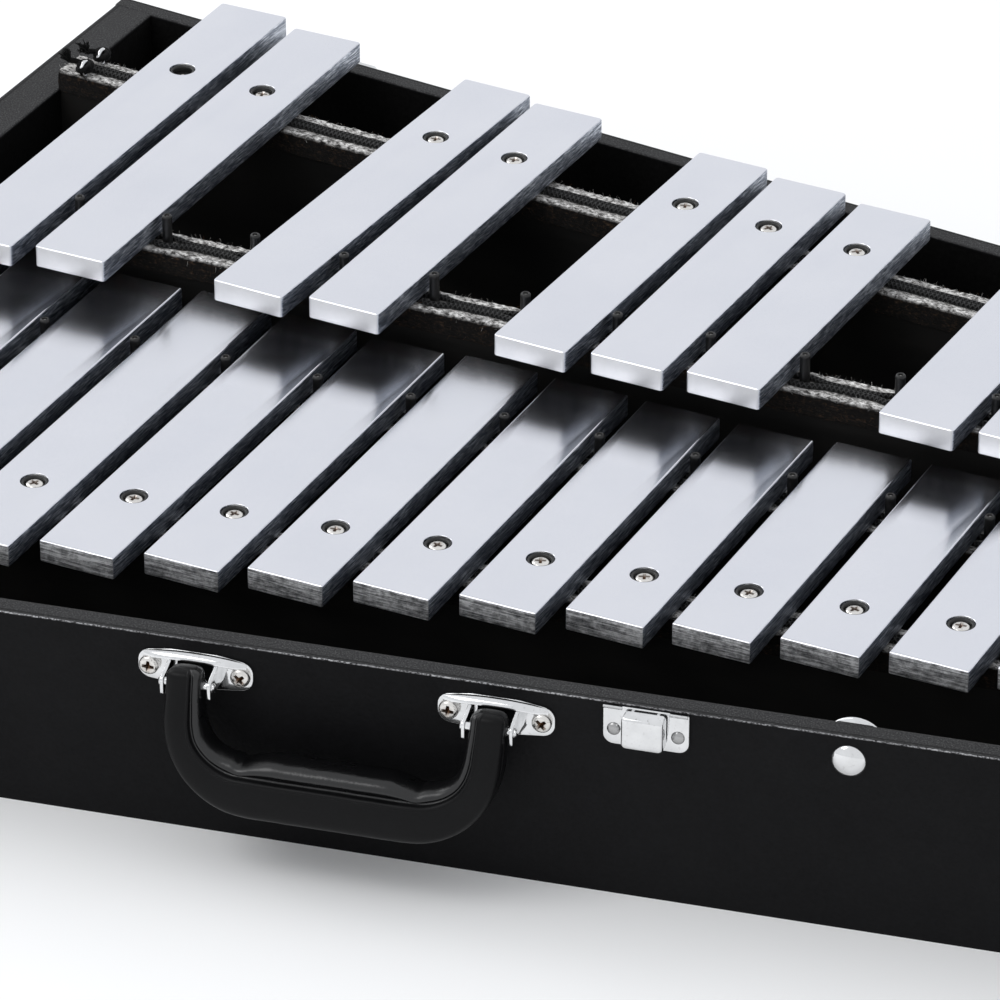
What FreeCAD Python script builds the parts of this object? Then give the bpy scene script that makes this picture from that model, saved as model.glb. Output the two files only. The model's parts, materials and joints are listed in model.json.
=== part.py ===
# A two-row, thirty-bar glockenspiel in the base of its tapered carrying case.
# Millimetres. +X runs from the long bass bars to the short treble bars, +Y from the player
# to the back, +Z up. The origin is the middle of the case's underside, on the floor.
import FreeCAD, Part
import math
import os

import Sketcher
from FreeCAD import Placement, Rotation, Vector

NATURAL_NOTES = ["g5", "a5", "b5", "c6", "d6", "e6", "f6", "g6", "a6",
                 "b6", "c7", "d7", "e7", "f7", "g7", "a7", "b7", "c8"]
# Semitones from one natural to the next, starting at the lowest G.
NATURAL_STEPS = [2, 2, 1, 2, 2, 1, 2, 2, 2, 1, 2, 2, 1, 2, 2, 2, 1]
# Bars sit loosely on their cords. Each sharp leans by so many degrees to the treble end.
SHARP_LEANS = {"g5": 0.2, "a5": 0.2, "c6": 2.8, "d6": 1.7, "f6": 2.2, "g6": 1.4,
               "a6": 1.6, "c7": 1.9, "d7": 1.2, "f7": 1.5, "g7": 0.9, "a7": 1.3}

# Driving dimensions: name, value, what it is.
SIZES = [
    ("bar_wide", 25, "width of every bar"),
    ("bar_thick", 7.4, "thickness of every bar"),
    ("bar_edge", 0.6, "bevel round the top of a bar"),
    ("bar_pitch", 31.4, "centre to centre of neighbouring naturals"),
    ("natural_bars", 18, "number of naturals, which is fixed by the notes"),
    ("longest_bar", 191, "length of the lowest bar, G5"),
    ("halving", 25, "semitones over which a bar's length halves"),
    ("node_share", 0.2245, "how far in from each end a ringing bar stands still, as a share"),
    ("row_step", 15.9, "how far the sharps' tops stand above the naturals' tops"),
    ("front_rail_rise", 88, "how far further back the front rail lies at the top note"),
    ("rear_rail_inset", 3.4, "how far in front of the bars' nodes the naturals' rear rail lies"),
    ("row_clear_bass", 0.32, "lowest natural's rear end to the sharps' front rail"),
    ("row_clear_treble", 10.3, "the same at the highest natural"),
    ("sharp_inset_bass", 5.3, "how much closer than the nodes the sharps' rails lie, lowest sharp"),
    ("sharp_inset_treble", 0, "the same at the highest sharp"),
    ("sharp_shift_bass", 6.3, "how far behind its rails' middle the lowest sharp lies"),
    ("sharp_shift_treble", -1.1, "the same at the highest sharp"),
    ("front_gap_bass", 27.3, "front wall to the lowest natural"),
    ("front_gap_treble", 40.1, "front wall to the highest natural"),
    ("back_gap_bass", 4.8, "back wall to the lowest sharp"),
    ("back_gap_treble", 21.1, "back wall to the highest sharp"),
    ("end_gap", 17.2, "end wall to the side of the outermost natural"),
    ("case_high", 65, "height of the walls"),
    ("front_wall", 7.5, "thickness of the front wall"),
    ("back_wall", 6.8, "thickness of the back wall"),
    ("end_wall", 15, "thickness of each end wall"),
    ("wall_edge", 0.8, "rounding along the top of a wall"),
    ("floor_thick", 6, "thickness of the floor panel"),
    ("rail_wide", 12, "width of a bar rail"),
    ("felt_thick", 7.5, "thickness of the felt on a rail"),
    ("cord_size", 2, "diameter of the braided cord under the bars"),
    ("cord_clear", 0.3, "cord to pin sleeve"),
    ("cord_start", 12, "end wall to the cord's tied end"),
    ("hole_size", 8.6, "diameter of the hole in a bar"),
    ("screw_head", 6, "diameter of a bar screw's head"),
    ("screw_head_high", 2.2, "height of a bar screw's head"),
    ("screw_shank", 3.4, "diameter of a bar screw's shank"),
    ("screw_sunk", 0.4, "bar's top down to the screw head's top"),
    ("screw_bite", 12, "how deep a bar screw goes into its rail"),
    ("grommet_clear", 0.15, "grommet to screw"),
    ("drive_arm", 1.74, "length of a cross recess's arms"),
    ("drive_slot", 0.75, "width of a cross recess's arms"),
    ("drive_deep", 1.1, "depth of a cross recess"),
    ("pin_core", 1.6, "diameter of a guide pin's steel nail"),
    ("pin_sleeve", 3.3, "outer diameter of its rubber sleeve"),
    ("pin_proud", 0.9, "how far a sleeve stands above the bars"),
    ("pin_bite", 14, "how deep the nail goes into its rail"),
    ("nail_sunk", 0.6, "sleeve's top down to the nail's top"),
    ("sleeve_round", 0.9, "height of a sleeve's rounded end"),
    ("eye_size", 5.9, "outer diameter of a screw eye's ring"),
    ("eye_wire", 1.3, "thickness of a screw eye's wire"),
    ("eye_from_wall", 10, "end wall to a screw eye"),
    ("eye_off", 5.2, "rail's middle to a screw eye"),
    ("handle_at", -40.5, "handle's middle, from the case's middle"),
    ("handle_span", 90.4, "centre to centre of the handle's two legs"),
    ("handle_drop", 28, "handle's pin down to the middle of its grip"),
    ("handle_bend", 19, "radius of the handle's corners"),
    ("handle_out", 9, "front wall to the handle's pins"),
    ("handle_lean", 12, "degrees that the hanging handle stands off the wall"),
    ("leg_wide", 12.4, "width of a handle leg along the wall"),
    ("leg_deep", 14, "depth of a handle leg out of the wall"),
    ("grip_size", 19, "diameter of the padded grip"),
    ("grip_long", 72, "length of the padded grip"),
    ("handle_pin", 2.6, "diameter of a handle pin"),
    ("pin_clear", 0.05, "radial running clearance of handle and latch pins"),
    ("bracket_below", 9.6, "rim down to the middle of a handle bracket"),
    ("bracket_long", 35, "length of a handle bracket"),
    ("bracket_high", 11.6, "height of a handle bracket"),
    ("bracket_corner", 5.4, "corner radius of a handle bracket"),
    ("bracket_screws", 27.7, "centre to centre of a bracket's two screws"),
    ("bracket_lip", 2.2, "how far a bracket's top edge is turned out"),
    ("screw_stop", 1, "how far a bracket screw stops short of the wall's inside"),
    ("plate_thick", 1, "thickness of brackets, latch plates and hinge leaves"),
    ("ear_high", 8, "height of a bracket's ears"),
    ("ear_thick", 1.2, "thickness of a bracket's ears"),
    ("ear_clear", 0.35, "bracket ear to handle leg"),
    ("latch_treble", 88, "handle's middle to the treble latch"),
    ("latch_bass", 122, "handle's middle to the bass latch"),
    ("latch_wide", 25.4, "width of a latch plate"),
    ("latch_high", 12.7, "height of a latch plate"),
    ("latch_below", 0.8, "rim down to a latch plate"),
    ("latch_corner", 3.2, "radius of a latch plate's lower corners"),
    ("latch_rivets", 8.4, "rim down to a latch plate's rivets"),
    ("lug_thick", 0.9, "thickness of a latch plate's two lugs"),
    ("lug_high", 2.8, "height of a lug"),
    ("lug_past", 1.3, "how far a lug reaches beyond its pin"),
    ("lug_gap", 1.2, "lug to the lever's flange"),
    ("lever_wide", 12.4, "width of a latch lever"),
    ("lever_long", 10.4, "height of a latch lever"),
    ("lever_below", 2.7, "rim down to a lever's pin"),
    ("lever_out", 3, "front wall to a lever's pin"),
    ("lever_sheet", 0.8, "thickness of a lever's sheet"),
    ("lever_face", 3.2, "lever's pin to its front face"),
    ("lever_back", 1.1, "lever's pin to the back edge of its flanges"),
    ("lever_head", 1.5, "lever's pin to its top edge"),
    ("latch_pin", 1.5, "diameter of a latch pin"),
    ("stud_reach", 146, "handle's middle to each lid locator"),
    ("stud_below", 8, "rim down to the middle of a lid locator"),
    ("stud_size", 10.4, "diameter of a locator rivet's domed head"),
    ("disc_size", 19, "diameter of a locator disc"),
    ("disc_thick", 1.4, "thickness of a locator disc"),
    ("hinge_reach", 222, "case's middle to the middle of each hinge"),
    ("hinge_long", 26, "length of a hinge leaf"),
    ("hinge_high", 16, "height of a hinge leaf"),
    ("hinge_pin", 2.4, "diameter of a hinge's lift-off pin"),
    ("hinge_pin_long", 12, "length of pin that the lid's knuckle slides on"),
    ("hinge_pin_held", 4, "length of pin held in the hinge's own knuckle"),
    ("hinge_below", 1, "rim down to a hinge leaf"),
    ("hinge_rivets", 12, "rim down to a hinge's rivets"),
    ("knuckle_clear", 0.2, "knuckle to wall, and knuckle to the leaf cut away for it"),
    ("knuckle_size", 4.8, "diameter of a hinge knuckle"),
    ("rivet_head", 4, "diameter of a small rivet's head"),
    ("rivet_shank", 1.6, "diameter of a small rivet's shank"),
    ("rivet_bite", 4.8, "how deep a small rivet goes into its wall"),
]

doc = FreeCAD.newDocument("Glockenspiel")


def fill_sheet(name, rows):
    """Make a sheet of one named cell a row."""
    sheet = doc.addObject("Spreadsheet::Sheet", name)
    for number, (alias, content, note) in enumerate(rows, start=1):
        sheet.set("A%d" % number, str(content))
        sheet.set("B%d" % number, note)
        sheet.setAlias("A%d" % number, alias)
    doc.recompute()
    return sheet


sizes = fill_sheet("Sizes", SIZES)


def value(expression):
    """Work out an expression of the sheets' cells."""
    return float(sizes.evalExpression(expression))


# ---------------------------------------------------------------- layout in plan
# Each rail or wall face is a straight line in plan, kept as its place at the lowest and
# highest bar it serves, then as its place at the two end walls.

LAYOUT = [
    ("half_row", "=(Sizes.natural_bars - 1) / 2 * Sizes.bar_pitch", "middle to the outermost natural"),
    ("half_in", "=half_row + Sizes.bar_wide / 2 + Sizes.end_gap", "middle to an end wall"),
    ("half_case", "=half_in + Sizes.end_wall", "middle to the outside of an end wall"),
    ("low_sharp", "=-half_row + Sizes.bar_pitch / 2", "place of the lowest sharp"),
    ("high_sharp", "=half_row - 3 / 2 * Sizes.bar_pitch", "place of the highest sharp"),
    ("sharp_long", "=Sizes.longest_bar * 2 ^ (-1 / Sizes.halving)", "length of the lowest sharp"),
    ("sharp_short", "=Sizes.longest_bar * 2 ^ (-27 / Sizes.halving)", "length of the highest sharp"),
    ("natural_short", "=Sizes.longest_bar * 2 ^ (-29 / Sizes.halving)", "length of the highest natural"),
    ("span", "=1 - 2 * Sizes.node_share", "node to node, as a share of a bar"),
    # Naturals' rear rail at the outermost naturals, from the lowest natural's screw.
    ("rear_low", "=span * Sizes.longest_bar - Sizes.rear_rail_inset", ""),
    ("rear_high", "=Sizes.front_rail_rise + span * natural_short - Sizes.rear_rail_inset", ""),
    ("rear_slope", "=(rear_high - rear_low) / (2 * half_row)", ""),
    # Sharps' rails at the lowest and the highest sharp.
    ("behind_low", "=Sizes.rear_rail_inset + Sizes.node_share * Sizes.longest_bar"
                   " + Sizes.rail_wide / 2 + Sizes.row_clear_bass", "naturals' rear rail to the next one"),
    ("behind_high", "=Sizes.rear_rail_inset + Sizes.node_share * natural_short"
                    " + Sizes.rail_wide / 2 + Sizes.row_clear_treble", ""),
    ("sharp_front_low", "=rear_low + rear_slope * (low_sharp + half_row) + behind_low", ""),
    ("sharp_front_high", "=rear_low + rear_slope * (high_sharp + half_row) + behind_high", ""),
    ("sharp_rear_low", "=sharp_front_low + span * sharp_long - Sizes.sharp_inset_bass", ""),
    ("sharp_rear_high", "=sharp_front_high + span * sharp_short - Sizes.sharp_inset_treble", ""),
    # Inner faces of the front and back walls.
    ("front_low", "=-Sizes.node_share * Sizes.longest_bar - Sizes.front_gap_bass", ""),
    ("front_high", "=Sizes.front_rail_rise - Sizes.node_share * natural_short - Sizes.front_gap_treble", ""),
    ("front_slope", "=(front_high - front_low) / (2 * half_row)", ""),
    ("back_low", "=(sharp_front_low + sharp_rear_low) / 2 + Sizes.sharp_shift_bass"
                 " + sharp_long / 2 + Sizes.back_gap_bass", ""),
    ("back_high", "=(sharp_front_high + sharp_rear_high) / 2 + Sizes.sharp_shift_treble"
                  " + sharp_short / 2 + Sizes.back_gap_treble", ""),
    ("back_slope", "=(back_high - back_low) / (high_sharp - low_sharp)", ""),
    ("front_thick", "=Sizes.front_wall / cos(atan(front_slope))", "front wall measured along Y"),
    ("back_thick", "=Sizes.back_wall / cos(atan(back_slope))", "back wall measured along Y"),
    ("middle", "=(front_low - front_slope * (half_case - half_row) - front_thick + back_low"
               " - back_slope * (half_case + low_sharp) + back_thick) / 2", "the origin's place"),
    ("natural_top", "=Sizes.case_high", "naturals' tops, level with the rim"),
    ("sharp_top", "=Sizes.case_high + Sizes.row_step", "sharps' tops"),
    ("under_bar", "=Sizes.bar_thick + Sizes.cord_size", "bar's top down to the felt"),
]
layout = fill_sheet("Layout", LAYOUT)


class Line:
    """A straight line in plan, through its places at two values of x."""

    def __init__(self, low_x, low_y, high_x, high_y):
        self.slope = (value(high_y) - value(low_y)) / (value(high_x) - value(low_x))
        self.start = value(low_y) - value("Layout.middle") - self.slope * value(low_x)
        self.angle = math.degrees(math.atan(self.slope))

    def at(self, x):
        return self.start + self.slope * x


ZERO = "0 mm"
NEAR = 0.01
NATURAL_ENDS = ("-Layout.half_row", "Layout.half_row")
SHARP_ENDS = ("Layout.low_sharp", "Layout.high_sharp")
natural_front = Line(NATURAL_ENDS[0], ZERO, NATURAL_ENDS[1], "Sizes.front_rail_rise")
natural_rear = Line(NATURAL_ENDS[0], "Layout.rear_low", NATURAL_ENDS[1], "Layout.rear_high")
sharp_front = Line(SHARP_ENDS[0], "Layout.sharp_front_low", SHARP_ENDS[1], "Layout.sharp_front_high")
sharp_rear = Line(SHARP_ENDS[0], "Layout.sharp_rear_low", SHARP_ENDS[1], "Layout.sharp_rear_high")
front_inside = Line(NATURAL_ENDS[0], "Layout.front_low", NATURAL_ENDS[1], "Layout.front_high")
back_inside = Line(SHARP_ENDS[0], "Layout.back_low", SHARP_ENDS[1], "Layout.back_high")

PITCH = value("Sizes.bar_pitch")
HALF_ROW = value("Layout.half_row")
HALF_IN = value("Layout.half_in")
RIM = value("Sizes.case_high")


def place_of(step):
    """X of a place counted in naturals from the lowest one; sharps lie at the halves."""
    return step * PITCH - HALF_ROW


# ---------------------------------------------------------------- drawing helpers

sub_parts = []


def keep(feature, label):
    """Name a finished sub-part, which is then written out."""
    feature.Label = label
    sub_parts.append(feature)
    return feature


def new_body(name):
    return doc.addObject("PartDesign::Body", name)


def origin_plane(body, role):
    return next(f for f in body.Origin.OriginFeatures if f.Role == role)


def outline(body, role, corners, height=None):
    """Draw a closed outline through corners, which are pairs of expressions."""
    sketch = body.newObject("Sketcher::SketchObject", body.Name + "_outline")
    sketch.AttachmentSupport = [(origin_plane(body, role), "")]
    sketch.MapMode = "FlatFace"
    if height:
        sketch.setExpression("AttachmentOffset.Base.z", height)
    points = [Vector(value(across), value(up), 0) for across, up in corners]
    count = len(points)
    for i in range(count):
        sketch.addGeometry(Part.LineSegment(points[i], points[(i + 1) % count]))
    for i in range(count):
        sketch.addConstraint(Sketcher.Constraint("Coincident", i, 2, (i + 1) % count, 1))
    for i, (across, up) in enumerate(corners):
        for kind, expression, number in (("DistanceX", across, points[i].x),
                                         ("DistanceY", up, points[i].y)):
            index = sketch.addConstraint(Sketcher.Constraint(kind, -1, 1, i, 1, number))
            sketch.setExpression("Constraints[%d]" % index, expression)
    return sketch


def circle(sketch, radius, across, up):
    """Add a circle to a sketch: a hole where it lies inside an outline."""
    centre = Vector(value(across), value(up), 0)
    index = sketch.addGeometry(Part.Circle(centre, Vector(0, 0, 1), value(radius)))
    rules = ((Sketcher.Constraint("Radius", index, value(radius)), radius),
             (Sketcher.Constraint("DistanceX", -1, 1, index, 3, centre.x), across),
             (Sketcher.Constraint("DistanceY", -1, 1, index, 3, centre.y), up))
    for rule, expression in rules:
        number = sketch.addConstraint(rule)
        sketch.setExpression("Constraints[%d]" % number, expression)


def pad(body, sketch, length):
    feature = body.newObject("PartDesign::Pad", body.Name + "_pad")
    feature.Profile = sketch
    feature.setExpression("Length", length)
    doc.recompute()
    return feature


def pocket(body, sketch, length):
    """Cut a sketch down into its body, and see that it took something away."""
    before = body.Shape.Volume
    feature = body.newObject("PartDesign::Pocket", body.Name + "_pocket")
    feature.Profile = sketch
    feature.setExpression("Length", length)
    doc.recompute()
    if body.Shape.Volume >= before:
        raise RuntimeError(body.Name + ": the pocket cut nothing")
    return feature


def dress(body, kind, feature, size, chosen):
    """Fillet or chamfer the edges that a test picks."""
    names = ["Edge%d" % i for i, edge in enumerate(feature.Shape.Edges, start=1) if chosen(edge)]
    dressing = body.newObject("PartDesign::" + kind, body.Name + "_" + kind.lower())
    dressing.Base = (feature, names)
    dressing.setExpression("Radius" if kind == "Fillet" else "Size", size)
    doc.recompute()
    return dressing


def turned(name, profile):
    """A body turned about Z from half its section, as (radius, height) expressions."""
    body = new_body(name)
    sketch = outline(body, "XZ_Plane", profile)
    feature = body.newObject("PartDesign::Revolution", name + "_turn")
    feature.Profile = sketch
    feature.ReferenceAxis = (sketch, ["V_Axis"])
    feature.Angle = 360
    doc.recompute()
    return body


def primitive(kind, name, dims, where=None):
    """A Part primitive with its sizes and its place bound to expressions."""
    solid = doc.addObject("Part::" + kind, name)
    for key, expression in dims.items():
        solid.setExpression(key, expression)
    for key, expression in zip(("x", "y", "z"), where or ()):
        solid.setExpression("Placement.Base." + key, expression)
    return solid


def lie_along_x(cylinder):
    cylinder.Placement.Rotation = Rotation(Vector(0, 1, 0), 90)
    return cylinder


def fuse(name, shapes):
    joined = doc.addObject("Part::MultiFuse", name)
    joined.Shapes = shapes
    return joined


def cut(name, base, tool):
    result = doc.addObject("Part::Cut", name)
    result.Base = base
    result.Tool = tool
    return result


def copies(label, source, placements):
    """A group of separate copies of one shape."""
    doc.recompute()
    group = doc.addObject("Part::Feature", label)
    solids = []
    for placement in placements:
        solid = source.Shape.copy()
        solid.Placement = placement.multiply(solid.Placement)
        solids.append(solid)
    group.Shape = Part.Compound(solids)
    return keep(group, label)


# ---------------------------------------------------------------- the case

def wall_in_plan(label, inner, x_end, slope, thick):
    """A front or back wall: inner is its inner face's place at the end walls' insides."""
    body = new_body(label)
    low, high = inner
    step = "(%s - Layout.half_in)" % x_end
    corners = [("-" + x_end, "%s - %s * %s" % (low, slope, step)),
               (x_end, "%s + %s * %s" % (high, slope, step)),
               (x_end, "%s + %s * %s + %s" % (high, slope, step, thick)),
               ("-" + x_end, "%s - %s * %s + %s" % (low, slope, step, thick))]
    solid = pad(body, outline(body, "XY_Plane", corners), "Sizes.case_high")
    rim = value("Sizes.case_high")
    dress(body, "Fillet", solid, "Sizes.wall_edge",
          lambda edge: all(abs(v.Z - rim) < NEAR for v in edge.Vertexes) and edge.Length > 2 * HALF_IN)
    return keep(body, label)


FRONT_AT_ENDS = ("(Layout.front_low - Layout.front_slope * (Layout.half_in - Layout.half_row)"
                 " - Layout.middle)",
                 "(Layout.front_high + Layout.front_slope * (Layout.half_in - Layout.half_row)"
                 " - Layout.middle)")
BACK_AT_ENDS = ("(Layout.back_low - Layout.back_slope * (Layout.half_in + Layout.low_sharp)"
                " - Layout.middle)",
                "(Layout.back_high + Layout.back_slope * (Layout.half_in - Layout.high_sharp)"
                " - Layout.middle)")

wall_in_plan("front_wall", FRONT_AT_ENDS, "Layout.half_case", "Layout.front_slope", "-Layout.front_thick")
wall_in_plan("back_wall", BACK_AT_ENDS, "Layout.half_case", "Layout.back_slope", "Layout.back_thick")


def end_wall(label, side, front_end, back_end):
    """An end wall between the front and back walls; side is '-' for the bass end."""
    inside = side + "Layout.half_in"
    outside = side + "Layout.half_case"
    slant = "Layout.%s_slope * " + side + "Sizes.end_wall"
    body = new_body(label)
    corners = [(inside, front_end),
               (outside, front_end + " + " + slant % "front"),
               (outside, back_end + " + " + slant % "back"),
               (inside, back_end)]
    solid = pad(body, outline(body, "XY_Plane", corners), "Sizes.case_high")
    rim = value("Sizes.case_high")
    dress(body, "Fillet", solid, "Sizes.wall_edge",
          lambda edge: all(abs(v.Z - rim) < NEAR for v in edge.Vertexes)
          and abs(edge.Vertexes[0].X - edge.Vertexes[1].X) < NEAR)
    return keep(body, label)


end_wall("bass_end_wall", "-", FRONT_AT_ENDS[0], BACK_AT_ENDS[0])
end_wall("treble_end_wall", "+", FRONT_AT_ENDS[1], BACK_AT_ENDS[1])

floor_body = new_body("floor_panel")
floor_corners = [("-Layout.half_in", FRONT_AT_ENDS[0]), ("Layout.half_in", FRONT_AT_ENDS[1]),
                 ("Layout.half_in", BACK_AT_ENDS[1]), ("-Layout.half_in", BACK_AT_ENDS[0])]
pad(floor_body, outline(floor_body, "XY_Plane", floor_corners), "Sizes.floor_thick")
keep(floor_body, "floor_panel")


# ---------------------------------------------------------------- rails, felt and cords

# Name, line in plan, level of the tops of the bars above it.
RAILS = [("natural_front", natural_front, "Layout.natural_top"),
         ("natural_rear", natural_rear, "Layout.natural_top"),
         ("sharp_front", sharp_front, "Layout.sharp_top"),
         ("sharp_rear", sharp_rear, "Layout.sharp_top")]


def strip_along(name, line, bottom, top):
    """A straight strip from end wall to end wall along a line in plan."""
    body = new_body(name)
    half = "Sizes.rail_wide / 2 / cos(%.6f)" % line.angle
    low, high = line.at(-HALF_IN), line.at(HALF_IN)
    corners = [("-Layout.half_in", "%.6f - %s" % (low, half)), ("Layout.half_in", "%.6f - %s" % (high, half)),
               ("Layout.half_in", "%.6f + %s" % (high, half)), ("-Layout.half_in", "%.6f + %s" % (low, half))]
    sketch = outline(body, "XY_Plane", corners, bottom)
    pad(body, sketch, "%s - (%s)" % (top, bottom))
    return body


def under_rail_top(top):
    return "%s - Layout.under_bar - Sizes.felt_thick" % top


for rail_name, rail_line, bars_top in RAILS:
    rail = strip_along(rail_name + "_rail", rail_line, "Sizes.floor_thick", under_rail_top(bars_top))
    keep(rail, rail_name + "_rail")

for row in ("natural", "sharp"):
    strips = [strip_along(name + "_felt_strip", line, under_rail_top(top), top + " - Layout.under_bar")
              for name, line, top in RAILS if name.startswith(row)]
    felts = doc.addObject("Part::Compound", row + "_rail_felts")
    felts.Links = strips
    keep(felts, row + "_rail_felts")


def cord_beside(name, line, top, side):
    """One straight cord on the felt, on one side of the rail's pins or screws."""
    cord = primitive("Cylinder", name, {"Radius": "Sizes.cord_size / 2"})
    start = -HALF_IN + value("Sizes.cord_start")
    cord.setExpression("Height", "(2 * Layout.half_in - 2 * Sizes.cord_start) / cos(%.6f)" % line.angle)
    off = side * value("Sizes.pin_sleeve / 2 + Sizes.cord_clear + Sizes.cord_size / 2")
    turn = Rotation(Vector(0, 0, 1), line.angle)
    level = value(top + " - Sizes.bar_thick - Sizes.cord_size / 2")
    cord.Placement = Placement(Vector(start, line.at(start), level) + turn.multVec(Vector(0, off, 0)),
                               turn.multiply(Rotation(Vector(0, 1, 0), 90)))
    return cord


for row in ("natural", "sharp"):
    lines = [cord_beside("%s_cord_%d" % (name, side + 1), line, top, side)
             for name, line, top in RAILS if name.startswith(row) for side in (-1, 1)]
    cords = doc.addObject("Part::Compound", row + "_row_cords")
    cords.Links = lines
    keep(cords, row + "_row_cords")


# ---------------------------------------------------------------- the thirty bars

def bar_length(semitones):
    """The length of a bar so many semitones above the lowest one."""
    return "(Sizes.longest_bar * 2 ^ (-%d / Sizes.halving))" % semitones


def make_bar(note, semitones, screw_from_end):
    """A bar from its front end, with its screw hole a given way along it."""
    body = new_body("bar_" + note)
    long = bar_length(semitones)
    half = "Sizes.bar_wide / 2"
    corners = [("-" + half, ZERO), (half, ZERO), (half, long), ("-" + half, long)]
    sketch = outline(body, "XY_Plane", corners)
    circle(sketch, "Sizes.hole_size / 2", ZERO, screw_from_end)
    solid = pad(body, sketch, "Sizes.bar_thick")
    top = value("Sizes.bar_thick")
    dress(body, "Chamfer", solid, "Sizes.bar_edge",
          lambda edge: len(edge.Vertexes) == 2 and all(abs(v.Z - top) < NEAR for v in edge.Vertexes))
    return keep(body, "bar_" + note)


screw_places = []
bar_under = {"natural": value("Layout.natural_top - Sizes.bar_thick"),
             "sharp": value("Layout.sharp_top - Sizes.bar_thick")}
semitone = 0
for step, note in enumerate(NATURAL_NOTES):
    x = place_of(step)
    natural = make_bar(note, semitone, "Sizes.node_share * " + bar_length(semitone))
    length = value(bar_length(semitone))
    screw_y = natural_front.at(x)
    front_end = screw_y - value("Sizes.node_share") * length
    natural.Placement = Placement(Vector(x, front_end, bar_under["natural"]), Rotation())
    screw_places.append(Vector(x, screw_y, value("Layout.natural_top")))
    if step < len(NATURAL_STEPS) and NATURAL_STEPS[step] == 2:
        x = place_of(step + 0.5)
        length = value(bar_length(semitone + 1))
        share = (x - value("Layout.low_sharp")) / value("Layout.high_sharp - Layout.low_sharp")
        shift = value("Sizes.sharp_shift_bass") * (1 - share) + value("Sizes.sharp_shift_treble") * share
        lean = math.radians(SHARP_LEANS[note])
        # Way along the leaning bar from one rail to the other, and from its front end to the first.
        apart = (sharp_rear.at(x) - sharp_front.at(x)) / (math.cos(lean) - sharp_rear.slope * math.sin(lean))
        to_rail = length / 2 - apart / 2 - shift
        sharp = make_bar(note + "_sharp", semitone + 1, "%.4f" % (to_rail + apart))
        pivot = Vector(x, sharp_front.at(x), bar_under["sharp"])
        sharp_turn = Rotation(Vector(0, 0, 1), -SHARP_LEANS[note])
        sharp.Placement = Placement(pivot - sharp_turn.multVec(Vector(0, to_rail, 0)), sharp_turn)
        screw = pivot + sharp_turn.multVec(Vector(0, apart, 0))
        screw_places.append(Vector(screw.x, screw.y, value("Layout.sharp_top")))
    if step < len(NATURAL_STEPS):
        semitone += NATURAL_STEPS[step]


# ---------------------------------------------------------------- screws, grommets and pins

def cross_recess(body, top):
    """Sink a cross recess into a screw's head."""
    arm, half = "Sizes.drive_arm", "Sizes.drive_slot / 2"
    corners = [(half, "-" + arm), (half, "-" + half), (arm, "-" + half), (arm, half), (half, half),
               (half, arm), ("-" + half, arm), ("-" + half, half), ("-" + arm, half),
               ("-" + arm, "-" + half), ("-" + half, "-" + half), ("-" + half, "-" + arm)]
    pocket(body, outline(body, "XY_Plane", corners, top), "Sizes.drive_deep")


# Outline of a pan head, as shares of its radius and of its height.
PAN_CURVE = [(1, 0.5), (0.86, 0.18), (0.6, 0)]


def pan_head(name, shank_long):
    """A pan head screw whose head's top is at height 0."""
    head, high, shank = "Sizes.screw_head / 2", "Sizes.screw_head_high", "Sizes.screw_shank / 2"
    body = turned(name, [(ZERO, "-(%s)" % shank_long), (shank, "-(%s)" % shank_long),
                         (shank, "-" + high), (head, "-" + high)]
                  + [("%s * %g" % (head, out), "-%s * %g" % (high, down)) for out, down in PAN_CURVE]
                  + [(ZERO, ZERO)])
    cross_recess(body, ZERO)
    return body


bar_screw = pan_head("bar_screw", "Layout.under_bar + Sizes.felt_thick + Sizes.screw_bite - Sizes.screw_sunk")
sunk = Vector(0, 0, -value("Sizes.screw_sunk"))
copies("bar_screws", bar_screw, [Placement(place + sunk, Rotation()) for place in screw_places])

ring, well = "Sizes.hole_size / 2", "(Sizes.screw_head / 2 + Sizes.grommet_clear)"
throat = "(Sizes.screw_shank / 2 + Sizes.grommet_clear)"
seat = "-(Sizes.screw_sunk + Sizes.screw_head_high)"
grommet = turned("bar_grommet", [(throat, "-Sizes.bar_thick"), (ring, "-Sizes.bar_thick"),
                                 (ring, "-Sizes.bar_edge"), (well, "-Sizes.bar_edge"),
                                 (well, seat), (throat, seat)])
copies("bar_grommets", grommet, [Placement(place, Rotation()) for place in screw_places])

pin_places = []
for step in range(len(NATURAL_NOTES) + 1):
    x = place_of(step - 0.5)
    pin_places.append(Vector(x, natural_rear.at(x), value("Layout.natural_top - Layout.under_bar")))
for step in range(len(NATURAL_NOTES) - 1):
    x = place_of(step)
    pin_places.append(Vector(x, sharp_front.at(x), value("Layout.sharp_top - Layout.under_bar")))

sleeve_top = "(Layout.under_bar + Sizes.pin_proud)"
core, sleeve = "Sizes.pin_core / 2", "Sizes.pin_sleeve / 2"
nail_top = sleeve_top + " - Sizes.nail_sunk"
nail = turned("guide_nail", [(ZERO, "-Sizes.felt_thick - Sizes.pin_bite"),
                             (core, "-Sizes.felt_thick - Sizes.pin_bite"), (core, nail_top), (ZERO, nail_top)])
copies("guide_pins", nail, [Placement(place, Rotation()) for place in pin_places])
# Outline of a sleeve's rounded end, as shares of its radius and of that end's height.
SLEEVE_CURVE = [(1, 1), (0.85, 0.33), (0.6, 0)]
tube = turned("guide_sleeve", [(core, "-Sizes.felt_thick"), (sleeve, "-Sizes.felt_thick")]
              + [("%s * %g" % (sleeve, out), "%s - Sizes.sleeve_round * %g" % (sleeve_top, down))
                 for out, down in SLEEVE_CURVE] + [(core, sleeve_top)])
copies("guide_pin_sleeves", tube, [Placement(place, Rotation()) for place in pin_places])

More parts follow.
